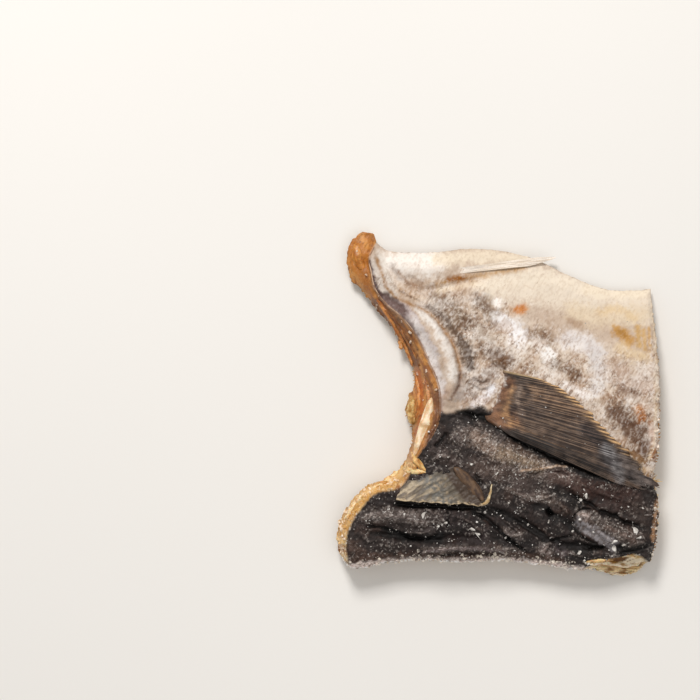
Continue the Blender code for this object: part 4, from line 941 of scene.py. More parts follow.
def scatter_tree():
    """Strews shapes picked from a collection over the faces, as thickly as the named attribute says."""
    tree, given = new_tree("strewn grains", {
        "Shapes": "Collection", "Density": "Float", "Amount": "String", "Smallest": "Float",
        "Largest": "Float", "Seed": "Int",
    })
    amount = add_node(tree, "GeometryNodeInputNamedAttribute", {"data_type": "FLOAT"}, {
        "Name": given["Amount"],
    })
    density = add_node(tree, "ShaderNodeMath", {"operation": "MULTIPLY"}, {
        0: amount.outputs["Attribute"], 1: given["Density"],
    })
    places = add_node(tree, "GeometryNodeDistributePointsOnFaces", {"distribute_method": "RANDOM"}, {
        "Mesh": given["Geometry"], "Density": density.outputs[0], "Seed": given["Seed"],
    })
    turn = add_node(tree, "FunctionNodeRandomValue", {"data_type": "FLOAT_VECTOR"}, {
        "Max": (math.tau, math.tau, math.tau), "Seed": 11,
    })
    # raised to a power, so that small grains outnumber large ones
    chance = add_node(tree, "FunctionNodeRandomValue", {"data_type": "FLOAT"}, {"Seed": 23})
    share = add_node(tree, "ShaderNodeMath", {"operation": "POWER"}, {0: chance.outputs["Value"], 1: 2.5})
    size = add_node(tree, "ShaderNodeMapRange", inputs={
        "Value": share.outputs[0], "To Min": given["Smallest"], "To Max": given["Largest"],
    })
    shapes = add_node(tree, "GeometryNodeCollectionInfo", inputs={
        "Collection": given["Shapes"], "Separate Children": True, "Reset Children": True,
    })
    grains = add_node(tree, "GeometryNodeInstanceOnPoints", inputs={
        "Points": places.outputs["Points"], "Instance": shapes.outputs["Instances"], "Pick Instance": True,
        "Rotation": turn.outputs["Value"], "Scale": size.outputs["Result"],
    })
    return end_tree(tree, given, grains.outputs["Instances"])


def grown(name, mesh, tree, values):
    """A plain mesh object made by running the tree over the mesh with those input values."""
    carrier = bpy.data.objects.new(name, mesh)
    bpy.context.scene.collection.objects.link(carrier)
    grow = carrier.modifiers.new("grow", "NODES")
    grow.node_group = tree
    sockets = {item.name: item.identifier for item in tree.interface.items_tree if item.in_out == "INPUT"}
    for label, value in values.items():
        grow[sockets[label]] = value
    graph = bpy.context.evaluated_depsgraph_get()
    plain = bpy.data.meshes.new_from_object(carrier.evaluated_get(graph))
    carrier.modifiers.remove(grow)
    carrier.data = plain
    carrier.data.name = name
    return carrier


def strands(name, threads, radius, material, sides=5):
    """Tubes along threads, each a path of 3-D points in millimetres, with the girth and hue along it."""
    paths, girths, hues = zip(*threads)
    points = np.vstack(paths)
    starts = np.cumsum([0] + [len(path) for path in paths])
    edges = [(i, i + 1) for start, end in zip(starts, starts[1:]) for i in range(start, end - 1)]
    mesh = bpy.data.meshes.new(name)
    mesh.from_pydata((points * MM).tolist(), edges, [])
    give_value(mesh, "girth", np.concatenate(girths))
    give_paint(mesh, np.vstack([np.broadcast_to(hue, path.shape) for path, hue in zip(paths, hues)]))
    piece = grown(name, mesh, tubes_tree(), {"Radius": radius, "Sides": sides, "Material": material})
    piece.data.shade_smooth()
    hand_over(piece)


def hull(corners):
    """The smallest convex body around the corners, in a bmesh."""
    work = bmesh.new()
    for corner in corners:
        work.verts.new(corner)
    bmesh.ops.convex_hull(work, input=work.verts)
    bmesh.ops.delete(work, geom=[v for v in work.verts if not v.link_faces], context="VERTS")
    return work


def grain_shapes(name, count, corners, flatness, seed):
    """A collection of small convex lumps, a unit across, for strewing."""
    random = np.random.default_rng(seed)
    group = bpy.data.collections.new(name)
    for number in range(count):
        work = hull([
            corner / np.linalg.norm(corner) * 0.5 * (1, random.uniform(0.7, 1), flatness)
            for corner in random.normal(size=(corners, 3))
        ])
        bmesh.ops.recalc_face_normals(work, faces=work.faces)
        mesh = bpy.data.meshes.new(f"{name}_{number}")
        work.to_mesh(mesh)
        work.free()
        group.objects.link(bpy.data.objects.new(mesh.name, mesh))
    return group


def strewn(name, surface, material, slot, amount, density, sizes, seed, shape):
    """Grains over the surface piece: density is per square centimetre where the amount attribute is 1.

    shape is how many shapes there are, their corners, flatness and seed.
    """
    shapes = grain_shapes(name + "_shape", *shape)
    piece = grown(name, surface.data.copy(), scatter_tree(), {
        "Shapes": shapes, "Density": density * 1e4, "Amount": amount, "Smallest": sizes[0],
        "Largest": sizes[1], "Seed": seed, "Material": material,
    })
    for layer in WALL_SHARES:
        if layer in piece.data.attributes:
            piece.data.attributes.remove(piece.data.attributes[layer])
    for grain in list(shapes.objects):
        bpy.data.objects.remove(grain)
    bpy.data.collections.remove(shapes)
    hand_over(piece)


# ---- The fish's body ----
def ragged_outline():
    """The outline at the spacing of the fine mesh, with torn and sawn unevenness."""
    made = []
    for edge, ragged in zip(EDGES, RAGGED):
        line = smooth_curve(edge, RIM_SPACING)
        number = np.arange(len(line))
        ends = np.minimum(1, np.minimum(number, number[::-1]) / 6)
        wobble = ragged * ends * fractal(line, RAGGED_GRAIN, 3.7, 4)
        made.append((line - left_of(np.gradient(line, axis=0)) * wobble[:, None])[:-1])
    return np.vstack(made)


def along_lip(points):
    """Each point as millimetres along the gill's lip and away from it, so that fibres can follow the band."""
    distance, _, share = to_line(points[:, :2], LIP)
    return np.column_stack([share * LIP_LENGTH, distance])


def crumbly(points):
    """0 where the bare flesh is smooth and stringy, by the gill, and 1 where it crumbles, at the nape."""
    return step_up(to_line(points[:, :2], LIP)[2], 0.66, 0.74)


def wrinkles(points):
    """Folds of the shrunken dark skin, drawn out along the back."""
    long_folds = ridged(points, 4.2, 17.3, 3, turn=-8, stretch=2.6)
    return 0.65 * long_folds + 0.35 * ridged(points, 2.4, 41.9, 3, turn=34)


def fine_relief(points, dark, on_flesh, on_ledge):
    """Wrinkles, fibres and crumbs too fine for the solid."""
    grit = fractal(points, 0.9, 7.7, 3)
    wrinkled = 0.5 * wrinkles(points) + 0.14 * ridged(points, 1.5, 3.9, 3, turn=12, stretch=1.6) + 0.1 * grit
    smooth = 0.06 * grit + 0.05 * fractal(points, 0.9, 52.1, 3, turn=62, stretch=5)
    smooth += 0.2 * fractal(points, 4.5, 71, 3) * mottled(points)
    stringy = 0.4 * fractal(along_lip(points), 1.1, 12, 4, stretch=6)
    torn = 0.9 * fractal(points, 2.8, 33.3, 4) + 0.4 * fractal(points, 1, 9.3, 3)
    bare = stringy + (torn - stringy) * crumbly(points)
    layers = -0.6 * fan_layers(points)
    relief = smooth + (wrinkled - smooth) * dark
    relief += (bare - relief) * on_flesh
    return relief + (layers - relief) * on_ledge


def wall_hues(points, depth, top_hue):
    """Colour of the cut and torn sides: a line of skin, then flesh in layers."""
    flat = np.column_stack([points[:, 0] + points[:, 1], 2.5 * points[:, 2] + 0.3 * points[:, 1]])
    layers = fractal(flat, 2.2, 8.8, 4, stretch=5)
    blotch = fractal(flat, 7, 2.9, 3, stretch=2)
    flesh = mixed("#c49c68", "#e6cda2", step_up(layers, -0.4, 0.5))
    flesh = mixed(flesh, "#a57746", 0.5 * step_up(blotch, 0, 0.6))
    flesh = mixed(flesh, "#8a6038", 0.5 * step_up(ridged(flat, 4.5, 71, 3, stretch=4), 0.8, 0.97))
    flesh = mixed(flesh, "#f3ead9", 0.4 * spots(points, 0.8, 91, 3, 0.2, 0.5))
    return mixed(top_hue, flesh, step_up(depth, 0.5 * SKIN_DEPTH, 1.5 * SKIN_DEPTH))


def myotomes(points):
    """1 on the seams between the muscle segments of the flesh side, which zigzag across the fillet."""
    middle = 2 * np.abs(across(points[:, :2]) - 0.55)
    along = points[:, 0] + 9 * np.abs(middle - 0.35) + 1.5 * fractal(points[:, :2], 9, 6.6, 2)
    seam = np.abs((along / 7.5) % 1 - 0.5) * 2
    return step_up(seam, 0.82, 1)


def under_hues(points):
    """Flesh side: cream muscle, amber along the back, with darker seams."""
    hue = mixed("#dcc299", "#eadbbd", spots(points[:, :2], 3, 5.1, 4, -0.5, 0.6))
    hue = mixed(hue, "#b98a52", 0.7 * spots(points[:, :2], 8, 25.1, 3, 0, 0.7))
    hue = mixed(hue, "#a57a48", 0.55 * myotomes(points))
    return mixed(hue, "#8d6a4a", 0.6 * step_up(across(points[:, :2]), 0.86, 1))


def pale_hues(points):
    """Pale skin: cream on the belly, broken up above it by brown pigment, white salt and fine fibres."""
    amount = mottled(points)
    hue = painted(points, bpy.context.scene.cutlet_skin.flank, SKIN_PATCHES, 1.1)
    holds_frost = 0.2 + 0.8 * step_up(hue.mean(1), 0.03, 0.2)
    clouds = fractal(points, 5.5, 12.2, 5, turn=20, stretch=1.4)
    hue = mixed(hue, "#f4efeb", 0.34 * step_up(clouds, 0.05, 0.4) * step_up(amount, 0.3, 1) * holds_frost)
    hue = mixed(hue, hue * linear("#c9ae97"), 0.5 * step_up(clouds, -0.05, -0.4) * amount)
    flecks = spots(points, 1.5, 61, 4, 0, 0.4) * spots(points, 4, 2.2, 3, -0.3, 0.3)
    hue = mixed(hue, hue * linear("#c5aa91"), 0.6 * flecks * amount)
    grains = spots(points, 1.1, 71, 4, 0, 0.3) * spots(points, 3, 33, 3, 0, 0.4)
    hue = mixed(hue, "#f7f3f1", 0.4 * grains * amount * holds_frost)
    hairs = step_up(ridged(points, 1.2, 19, 3, turn=56, stretch=3.4), 0.7, 0.95)
    hue = mixed(hue, hue * linear("#ab8767"), 0.5 * hairs * (0.25 + 0.75 * amount))
    strands_lit = step_up(ridged(points, 1.2, 43, 3, turn=62, stretch=3.4), 0.72, 0.95)
    return mixed(hue, "#eee4da", 0.42 * strands_lit * amount * holds_frost)


def dark_hues(points):
    """Dark skin: brown-black, with painted shade deepening it in the folds' hollows, dusted with grey salt
    where it stands up.
    """
    hue = mixed(bpy.context.scene.cutlet_skin.back, "#433229", 0.7 * spots(points, 6, 2.9, 3, 0, 0.6))
    hue = painted(points, hue, BACK_PATCHES, 1) * (0.76, 0.68, 0.68)
    bare = hue
    standing = folded(points)
    folds = 0.8 * wrinkles(points) + standing
    # painted shade: darkened to a quarter where the folds and wrinkles sink
    hue = mixed(hue, hue * 0.25, 0.95 * step_up(folds, 0.15, -0.45))
    dusty = spots(points, 0.8, 23, 5, 0.05, 0.25) * spots(points, 5, 47, 3, -0.3, 0.4)
    hue = mixed(hue, hue * 1.6 + linear("#5c5450"), 0.34 * dusty * step_up(folds, 0, 0.7))
    crests = step_up(standing + 0.4 * fractal(points, 0.9, 5, 4), 0.35, 0.65)
    hue = mixed(hue, hue * 1.6 + linear("#57504c"), 0.5 * crests)
    veins = step_up(ridged(points, 1.6, 27, 5, turn=-20, stretch=1.6), 0.8, 0.94)
    veins *= step_up(fractal(points, 4, 83, 3) + 0.4 * standing, -0.25, 0.3)
    hue = mixed(hue, hue + linear("#8f8883"), 0.6 * veins)
    pits = step_up(ridged(points, 2, 63, 4, turn=30, stretch=1.8), 0.8, 0.95)
    hue = mixed(hue, hue * 0.35, 0.7 * pits * spots(points, 4, 97, 3, -0.3, 0.2))
    return mixed(hue, 1.25 * bare, 0.75 * calm(points))


def flesh_hues(points):
    """Bare flesh: glossy amber strings along the gill, golden crumbs at the nape."""
    strings = fractal(along_lip(points), 0.9, 12, 4, stretch=8)
    hue = mixed("#9a602e", "#cf9350", step_up(strings, -0.5, 0.5))
    crumb = fractal(points, 2.2, 33.3, 4)
    golden = mixed("#9a6229", "#edc584", step_up(crumb, -0.4, 0.35))
    golden = mixed(golden, "#f7e4bf", 0.7 * spots(points, 1.1, 20, 4, 0.15, 0.4))
    golden = mixed(golden, golden * 0.45, 0.7 * spots(points, 1, 77, 4, 0.2, 0.45))
    hue = mixed(hue, golden, crumbly(points))
    hue = painted(points, hue, FLESH_PATCHES, 0.4)
    hue = mixed(hue, hue * 0.5, 0.6 * step_up(strings, 0.15, 0.6) * (1 - crumbly(points)))
    pale = spots(points, 0.8, 45, 4, 0.25, 0.6) * (0.15 + 0.85 * crumbly(points))
    return mixed(hue, "#f3d7a8", 0.5 * pale)


def fan_layers(points):
    """Noise drawn out along the loin's layers, which spread from one end of its lip."""
    spoke = points[:, :2] - LOIN_LIP[0]
    angle = np.arctan2(spoke[:, 1], spoke[:, 0])
    return fractal(np.column_stack([0.12 * np.linalg.norm(spoke, axis=1), 14 * angle]), 1, 12.5, 3)


def loin_hues(points):
    """The torn loin at the back's tail corner: golden layers, brown in the gaps as painted shade where the
    layers' relief sinks, and cream as painted light where it rises.
    """
    hue = painted(points, linear("#cdab70"), LEDGE_PATCHES, 0.4)
    layers = fan_layers(points)
    # painted shade in the gaps, where fine_relief sinks the same layers
    hue = mixed(hue, "#6a4420", 0.9 * step_up(layers, 0.08, 0.32))
    # painted light on the layers, where the relief rises
    return mixed(hue, "#f8ead0", 0.9 * step_up(layers, -0.02, -0.25))


def top_hues(points, dark, on_flesh, on_ledge):
    """Colour of everything seen from above."""
    hue = mixed(pale_hues(points), dark_hues(points), dark)
    return mixed(mixed(hue, flesh_hues(points), on_flesh), loin_hues(points), on_ledge)


def calm(points):
    """1 where the skin is stretched smooth and keeps its hue: the roll, the slate patch, bare swellings."""
    share = np.zeros(len(points))
    for half_width, line in CALM_SPOTS:
        distance = to_line(points[:, :2], line)[0] + 0.5 * fractal(points, 1.5, 31, 3)
        share = np.maximum(share, 1 - step_up(distance, half_width - 0.6, half_width + 0.9))
    return share


def mottled(points):
    """How broken up the pale skin is: much over the shoulder and tail flank, little on the belly."""
    by_shoulder = 0.12 * (1 - step_up(points[:, 0], -12, 8))
    amount = step_up(across(points) + by_shoulder + 0.06 * fractal(points, 6, 4.2, 3), 0.13, 0.33)
    return 0.12 + 0.88 * amount * (1 - 0.85 * calm(points))


def finish_shares(top, hue, dark, on_flesh, on_ledge):
    """How much speckle, salt, glaze, grains and crumbs each point of the top has."""
    skin_only = (1 - on_flesh) * (1 - on_ledge)
    breadth, lightness, broken = across(top), hue.mean(1), mottled(top)
    patchy = spots(top, 4, 2.2, 3, -0.3, 0.4)
    uncovered = np.interp(lightness, (0, 0.15, 0.4, 0.9), (0.4, 0.9, 0.9, 0.4))
    pigment = skin_only * (0.6 * broken * (0.3 + 0.7 * patchy) * uncovered * (1 - dark) + 0.7 * dark)
    dusted = np.clip(0.1 + 4 * lightness, 0, 0.45) * (1 - 0.9 * calm(top))
    clinging = np.interp(lightness, (0.05, 0.3), (0.1, 0.42))
    clumps = 0.2 + 0.8 * spots(top, 3.5, 88, 4, 0, 0.5)
    sawn = (1 - step_up(to_line(top, smooth_curve(CUT_EDGE, 2))[0], 0.6, 1.8)) * step_up(breadth, 0.3, 0.5)
    torn = np.maximum(step_up(breadth, 0.968, 0.99), 0.7 * sawn)
    return {
        "speckle": pigment + 0.3 * (1 - skin_only),
        "salt": skin_only * (clinging * broken * (1 - dark) * patchy + dark * dusted),
        "glaze": on_flesh + 0.6 * on_ledge + 0.45 * skin_only * dark,
        "grains": skin_only * clumps * (0.02 + 0.98 * dark),
        "crumbs": np.maximum(on_flesh * (0.04 + 0.96 * crumbly(top)), torn),
    }


def make_flank():
    """The body: one closed mesh with skin on top, torn and sawn sides, and the flesh side underneath."""
    rim = ragged_outline()
    lips = [offset_lines(smooth_curve(lip, RIM_SPACING), LIP_STEP) for lip in (GILL_LIP, LOIN_LIP)]
    top, top_faces = filled(rim, TOP_SPACING, (*lips[0], *lips[1]))
    around = len(rim)
    dark = dark_share(top)
    on_flesh, on_ledge, _, _ = zones(top)
    height = top_height(top)
    near_rim = step_up(to_line(top, CLOSED_OUTLINE)[0], 0, 0.8)
    height += near_rim * fine_relief(top, dark, on_flesh, on_ledge)
    outward = -left_of(np.roll(rim, -3, axis=0) - np.roll(rim, 3, axis=0))
    under, under_faces = filled(rim - FOOT_INSET * outward, UNDER_SPACING)
    base = under_height(under)
    base += 0.25 * step_up(base, 0.05, 0.5) * fractal(under, 2, 3.3, 3)
    crown = height[:around]
    at_back = step_up(across(rim), 0.96, 0.98) * (1 - step_up(rim[:, 0], 24, 27))
    hue = top_hues(top, dark, on_flesh, on_ledge)
    points, hues = [np.column_stack([top, height])], [hue]
    for row in range(1, WALL_ROWS):
        share = row / WALL_ROWS
        level = crown + (base[:around] - crown) * share
        ring = np.column_stack([rim, level])
        crag = 0.45 * fractal(ring, 1.6, 2.2, 4) + 0.3 * fractal(ring, 0.7, 66, 3, stretch=3)
        crag *= 0.3 + 0.7 * step_up(across(rim), 0.02, 0.12)
        swell = 0.5 * math.sin(math.pi * share) + at_back * BACK_LEDGE * math.sin(math.pi * share**0.45)
        ring[:, :2] += outward * (crag + swell - FOOT_INSET * share)[:, None]
        points.append(ring)
        flesh = wall_hues(ring, crown - level, hue[:around])
        pith = mixed("#e9dfd6", "#ffffff", spots(ring, 1.2, 4, 4, -0.4, 0.1))
        pith = mixed(pith, "#7d6858", 0.8 * spots(ring, 1.3, 14, 4, 0.2, 0.4))
        uneven = crown - level + 1.2 * fractal(rim, 3, 8, 3)
        hues.append(mixed(flesh, pith, at_back * (1 - step_up(uneven, 1.4, 3.2))))
    points.append(np.column_stack([under, base]))
    hues.append(under_hues(points[-1]))
    rings = [np.arange(around)] + [len(top) + row * around + np.arange(around) for row in range(WALL_ROWS)]
    faces = [top_faces]
    for upper, lower in zip(rings, rings[1:]):
        after, below_after = np.roll(upper, -1), np.roll(lower, -1)
        faces += [np.column_stack([upper, lower, below_after]), np.column_stack([upper, below_after, after])]
    faces.append(under_faces[:, ::-1] + rings[-1][0])
    piece = mesh_piece("dried_flank", np.vstack(points), np.vstack(faces), dried_skin(), outwards=False)
    give_paint(piece.data, np.vstack(hues))
    for name, on_top in finish_shares(top, hue, dark, on_flesh, on_ledge).items():
        elsewhere = np.full(sum(map(len, points)) - len(top), float(WALL_SHARES[name]))
        if name == "crumbs":  # on the upper third of the back's wall
            elsewhere[: 4 * around] = np.tile(0.8 * at_back, 4)
        give_value(piece.data, name, np.concatenate([on_top, elsewhere]))
    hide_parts(NODE)
    hand_over(piece)


# ---- Fins and membrane ----
def spread(root, ends, share, along):
    """(places, lengths) of a fan: share picks the ray, along runs from its root to its end."""
    start, end = (
        np.column_stack([np.interp(share, np.linspace(0, 1, len(line)), line[:, axis]) for axis in (0, 1)])
        for line in (smooth_curve(root, 0.1), smooth_curve(ends, 0.1))
    )
    return start + (end - start) * along[:, None], np.linalg.norm(end - start, axis=1)


def fan_line(root, ends, share, along, surface, colours):
    """(3-D points, hues) on a fan, where surface gives each point's height and colours its hue."""
    places, length = spread(root, ends, share, along)
    heights = surface(places, share, along, length)
    return np.column_stack([places, heights]), colours(places, share, along, length)


def web(name, root, ends, grid, surface, thickness, colours, material, reach=None):
    """A thin closed sheet over the fan, where surface gives each point's height and colours its hue."""
    columns, rows = grid
    share = np.repeat(np.linspace(0, 1, columns), rows)
    along = np.tile(np.linspace(0, 1, rows), columns)
    stretch = reach(share) if reach else 1
    places, length = spread(root, ends, share, along * stretch)
    top = np.column_stack([places, surface(places, share, along, length)])
    under = top - (0, 0, thickness)
    cells = np.arange(columns * rows).reshape(columns, rows)
    quads = np.stack([cells[:-1, :-1], cells[:-1, 1:], cells[1:, 1:], cells[1:, :-1]], -1).reshape(-1, 4)
    count = columns * rows
    border = np.concatenate([cells[0, :-1], cells[:-1, -1], cells[-1, :0:-1], cells[:0:-1, 0]])
    following = np.roll(border, -1)
    sides = np.column_stack([border, following, following + count, border + count])
    faces = np.vstack([quads, quads[:, ::-1] + count, sides])
    piece = mesh_piece(name, np.vstack([top, under]), faces, material)
    hue = colours(places, share, along, length)
    # painted shade: the underside is a fifth darker, and so is the lower part of each side wall
    give_paint(piece.data, np.vstack([hue, hue * 0.8]))
    hand_over(piece)
    return piece


def ray_number(share, rays):
    """Which ray each share of the fan lies on, and how far over it, with some rays wider than others."""
    return rays * share + 0.75 * fractal(np.column_stack([rays * share, 0 * share]), 2.6, 8, 2)


def ray_wave(share, rays):
    """1 on each ray's back, 0 between rays."""
    return 0.5 - 0.5 * np.cos(ray_number(share, rays) * math.tau)


def pectoral_height(places, share, along, length):
    """Ridged by its rays, fleshy and sunk in at its root, crumpled at its far tip."""
    fin = bpy.context.scene.cutlet_fins
    rise = PECTORAL_LIFT * step_up(along, -0.02, 0.3) * (0.35 + 0.65 * step_up(share, 0, 0.5)) - 0.25
    rise += 0.35 * (1 - step_up(share, 0, 0.2)) + 0.3 * step_up(share, 0.45, 0.7)
    sag = 0.35 * fractal(places, 6, 13, 2)
    from_root = along * length
    fleshy = 0.5 * np.exp(-(((from_root - 3) / 2) ** 2)) * (0.7 + 0.5 * fractal(places, 2, 3, 3))
    sunk = 0.9 * (1 - step_up(from_root + 0.4 * fractal(places, 2.4, 9, 2), 0, 3))
    uneven = 0.6 + 0.5 * fractal(places, 3, 21, 3)
    at_tip = step_up(places[:, 0], 33, 38)
    ridges = 0.2 * ray_wave(share, fin.pectoral_rays) * step_up(from_root, 5, 9) * uneven
    ridges *= 1 - 0.7 * at_tip
    crumpled = 0.7 * fractal(places, 1.9, 61, 4) * at_tip
    ground = top_height(places, FOLDS)  # without the crease, which the fin bridges
    return ground + rise + sag + fleshy - sunk + ridges + crumpled


def ray_tone(share, fin):
    """How light each ray is, 0 to 1, the same for its web and its tubes."""
    tones = np.random.default_rng(fin.seed + 1).uniform(0, 1, fin.pectoral_rays + 2)
    return tones[np.clip(ray_number(share, fin.pectoral_rays), 0, fin.pectoral_rays + 1).astype(int)]


def pectoral_hues(places, share, along, length):
    """Brown-grey rays with dark web between, rust-brown root, golden ends behind, slate far tip."""
    fin = bpy.context.scene.cutlet_fins
    ridge = ray_wave(share, fin.pectoral_rays)
    streak = fractal(np.column_stack([share * 80, along * 2.5]), 1, 5, 4)
    blotch = fractal(places, 2.4, 37, 3)
    worn = fractal(places, 3.6, 91, 3, turn=-25, stretch=2.5)
    hue = painted(places, linear("#4b3b30"), FIN_PATCHES, 0.6)
    rayed = step_up(along * length + 1.5 * blotch, 6, 11) * (1 - 0.8 * step_up(places[:, 0], 34, 37))
    light = 1.3 * (ridge**4 - 0.3) * ray_tone(share, fin) * (0.7 + worn)
    light = rayed * (light + 1.5 * streak) + 0.6 * blotch + 0.3
    hue = mixed(hue * (0.34, 0.28, 0.27), hue * 1.6 + linear("#43382f"), np.clip(light, 0, 1))
    to_end = (1 - along) * length
    tips = (1 - step_up(to_end + 2.6 * streak, 1, 4.2)) * (1 - step_up(share, 0.5, 0.72))
    hue = mixed(hue, mixed("#5a4330", "#d6ad7c", step_up(ridge, 0.3, 0.9)), 0.9 * tips)
    first = (1 - step_up(share, 0.01, 0.04)) * step_up(along, 0, 0.2)
    hue = mixed(hue, "#b59a74", 0.75 * first)
    hue = mixed(hue, "#231a15", 0.9 * step_up(share, 0.72, 0.9) * (1 - step_up(along, 0.08, 0.35)))
    frosted = 1 - step_up(along * length + 2 * blotch + 0.2 * streak, 0.8, 4)
    frosted *= step_up(share, 0.03, 0.12) * (1 - step_up(share, 0.4, 0.62))
    grain = fractal(places, 0.8, 55, 4, turn=56, stretch=3)
    return mixed(hue, "#d6cbc3", 0.95 * step_up(frosted + 0.2 * grain, 0.1, 0.95))


def make_pectoral_fin():
    """Web and rays of the pectoral fin, dried flat onto the flank."""
    fin = bpy.context.scene.cutlet_fins
    random = np.random.default_rng(fin.seed)
    rays = fin.pectoral_rays
    jitter = random.uniform(0.96, 1.03, rays + 2)
    # skin between bony rays, dried stiff: half matt, its tone broken up by worn fibres
    material = painted_material("dried fin web", 0.55, 0.4, 0.12, speckle=0.35)

    def reach(share):
        """Each ray's own length, with a notch between rays."""
        notch = 1 - 0.035 * (1 - ray_wave(share, rays))
        return notch * jitter[np.clip(ray_number(share, rays), 0, rays + 1).astype(int)]

    piece = web("pectoral_fin_web", PECTORAL_ROOT, PECTORAL_ENDS, (rays * 8 + 1, 80), pectoral_height, 0.45,
                pectoral_hues, material, reach)
    give_value(piece.data, "grains", np.full(len(piece.data.vertices), 0.05))
    threads = []
    shares_over = np.linspace(0, 1, 800)
    numbers = ray_number(shares_over, rays)
    for ray in range(rays):
        middle = np.interp(ray + 0.5, numbers, shares_over)
        for fork in (-0.3, 0, 0.3):
            begin = 0.5 + 0.25 * random.random() if fork else 0.36
            along = np.linspace(begin, jitter[ray] * (0.97 + 0.04 * random.random()), 30)
            share = np.clip(middle + fork / rays * step_up(along, begin, begin + 0.4), 0, 1)
            path, hue = fan_line(PECTORAL_ROOT, PECTORAL_ENDS, share, along, pectoral_height, pectoral_hues)
            path -= (0, 0, 0.04)
            worn = 0.75 - 0.35 * along + 0.35 * fractal(path[:, :2], 4, 7 + 3 * ray + fork, 3)
            girth = step_up(along, 0.3, 0.5) * np.clip(worn, 0.15, 1.1)
            tone = random.uniform(0.7, 1.4) + 0.35 * step_up(along, 0.3, 0.6)
            threads.append((path, girth, hue * tone[:, None]))
    strands("pectoral_fin_rays", threads, fin.ray_radius, material)


def pelvic_height(places, share, along, length):
    """The fin grows out of the belly's skin and stands clear of it towards its thread."""
    rise = 0.2 + PELVIC_LIFT * step_up(along, 0.2, 0.8) - 0.7 * (1 - step_up(along, 0, 0.3))
    held_in = top_height(np.column_stack([places[:, 0], np.minimum(places[:, 1], 45)]))
    crown = 0.3 * np.sin(np.clip(share, 0, 1) * math.pi) * step_up(along, 0.1, 0.5)
    return held_in + rise + crown + 0.12 * ray_wave(share, 5) - 0.035 * np.maximum(places[:, 0] - 6, 0)


def pelvic_hues(places, share, along, length):
    """White-cream, greyer where the fin leaves the belly, with painted shade in tan along its lower side near
    the root.
    """
    streak = fractal(np.column_stack([share * 14, along * 5]), 1, 8, 4)
    hue = mixed("#d3c1ad", "#f8eee4", step_up(streak, -0.35, 0.35))
    near = 1 - step_up(along, 0.25, 0.6)
    hue = mixed(hue, "#a3968d", 0.75 * near * step_up(streak, -0.15, 0.3))
    # painted shade: tan along the fin's lower side, near its root
    hue = mixed(hue, "#b98f58", 0.5 * step_up(share, 0.8, 1) * (1 - step_up(along, 0.5, 0.9)))
    return mixed("#ece3d9", hue, step_up(along + 0.2 * streak, 0.08, 0.4))


def make_pelvic_fin():
    """The small pale fin on the belly, its rays drawn out into a thread."""
    fin = bpy.context.scene.cutlet_fins
    # thin unpigmented skin, dried: cream, half matt, nearly even in tone
    material = painted_material("dried pale fin", 0.55, 0.5, 0.06, speckle=0.12)
    web("pelvic_fin_web", PELVIC_ROOT, PELVIC_ENDS, (41, 90), pelvic_height, 0.4, pelvic_hues, material)
    threads = []
    along = np.linspace(0.02, 1, 40)
    for ray in range(fin.pelvic_rays):
        share = np.full(len(along), (ray + 0.5) / fin.pelvic_rays)
        path, hue = fan_line(PELVIC_ROOT, PELVIC_ENDS, share, along, pelvic_height, pelvic_hues)
        girth = (1 - 0.6 * along) * step_up(along, 0.05, 0.4)
        threads.append((path, girth, mixed(hue, "#fbf3e4", 0.5 * step_up(along, 0.1, 0.5))))
    strands("pelvic_fin_rays", threads, 0.7 * fin.ray_radius, material)


def flap_height(places, share, along, length):
    """Sunk into the skin along its root, lifted and folded towards its free edge."""
    lift = FLAP_LIFT * step_up(along, 0, 0.9) + 0.5 * step_up(along, 0.75, 1)
    folds = 0.45 * ridged(places, 3.2, 6, 3, turn=34, stretch=3) * step_up(along, 0.05, 0.4)
    sunk = 0.5 * (1 - step_up(along, 0, 0.08)) + 0.4 * (1 - step_up(share, 0, 0.08))
    return top_height(places, FOLDS) + 0.3 + lift + folds - sunk + 0.12 * fractal(places, 1, 16, 3)


def flap_reach(share):
    """How far the torn edge falls short of the fan's ends."""
    return 1 + 0.07 * fractal(np.column_stack([7 * share, 0 * share]), 1, 2, 3)


def flap_hues(places, share, along, length):
    """Grey-brown membrane, cream fibres in its nape half, slate in the middle, a torn cream edge."""
    fibre = fractal(places, 1.2, 4, 4, turn=34, stretch=5)
    torn = fractal(places, 1.3, 24, 4)
    hue = mixed("#665c53", "#9c8d7a", step_up(fibre, -0.5, 0.5))
    hue = mixed(hue, "#5e6163", 0.85 * np.exp(-(((share - 0.55) / 0.2) ** 2)) * step_up(torn, -0.6, 0.2))
    white = (1 - step_up(share + 0.15 * torn, 0.25, 0.6)) * step_up(fibre, -0.1, 0.2)
    hue = mixed(hue, "#b9ac98", 0.65 * white)
    hue = mixed(hue, "#514a41", 0.7 * step_up(share + 0.1 * torn, 0.62, 0.76))
    hue = mixed(hue, "#3d2d22", 0.92 * step_up(share, 0.78, 0.84))
    hue = mixed(hue, "#3a312c", 0.75 * (1 - step_up(along + 0.1 * torn, 0, 0.2)))
    to_end = (1 - along) * length
    return mixed(hue * (1, 0.96, 0.88), "#c9b28f", 0.7 * (1 - step_up(to_end + 1.2 * torn, 0, 0.7)))


def make_membrane():
    """A flap of gill membrane with its lobe and curl."""
    # gill membrane, dried stiff: grey-brown and fibrous, a little shinier than the fins
    material = painted_material("dried membrane", 0.5, 0.6, 0.08)
    web("membrane_flap", FLAP_ROOT, FLAP_ENDS, (150, 60), flap_height, 0.4, flap_hues, material, flap_reach)
    lumps("membrane_lobe", [FLAP_LOBE], material)
    lumps("membrane_curl", [FLAP_CURL], material)


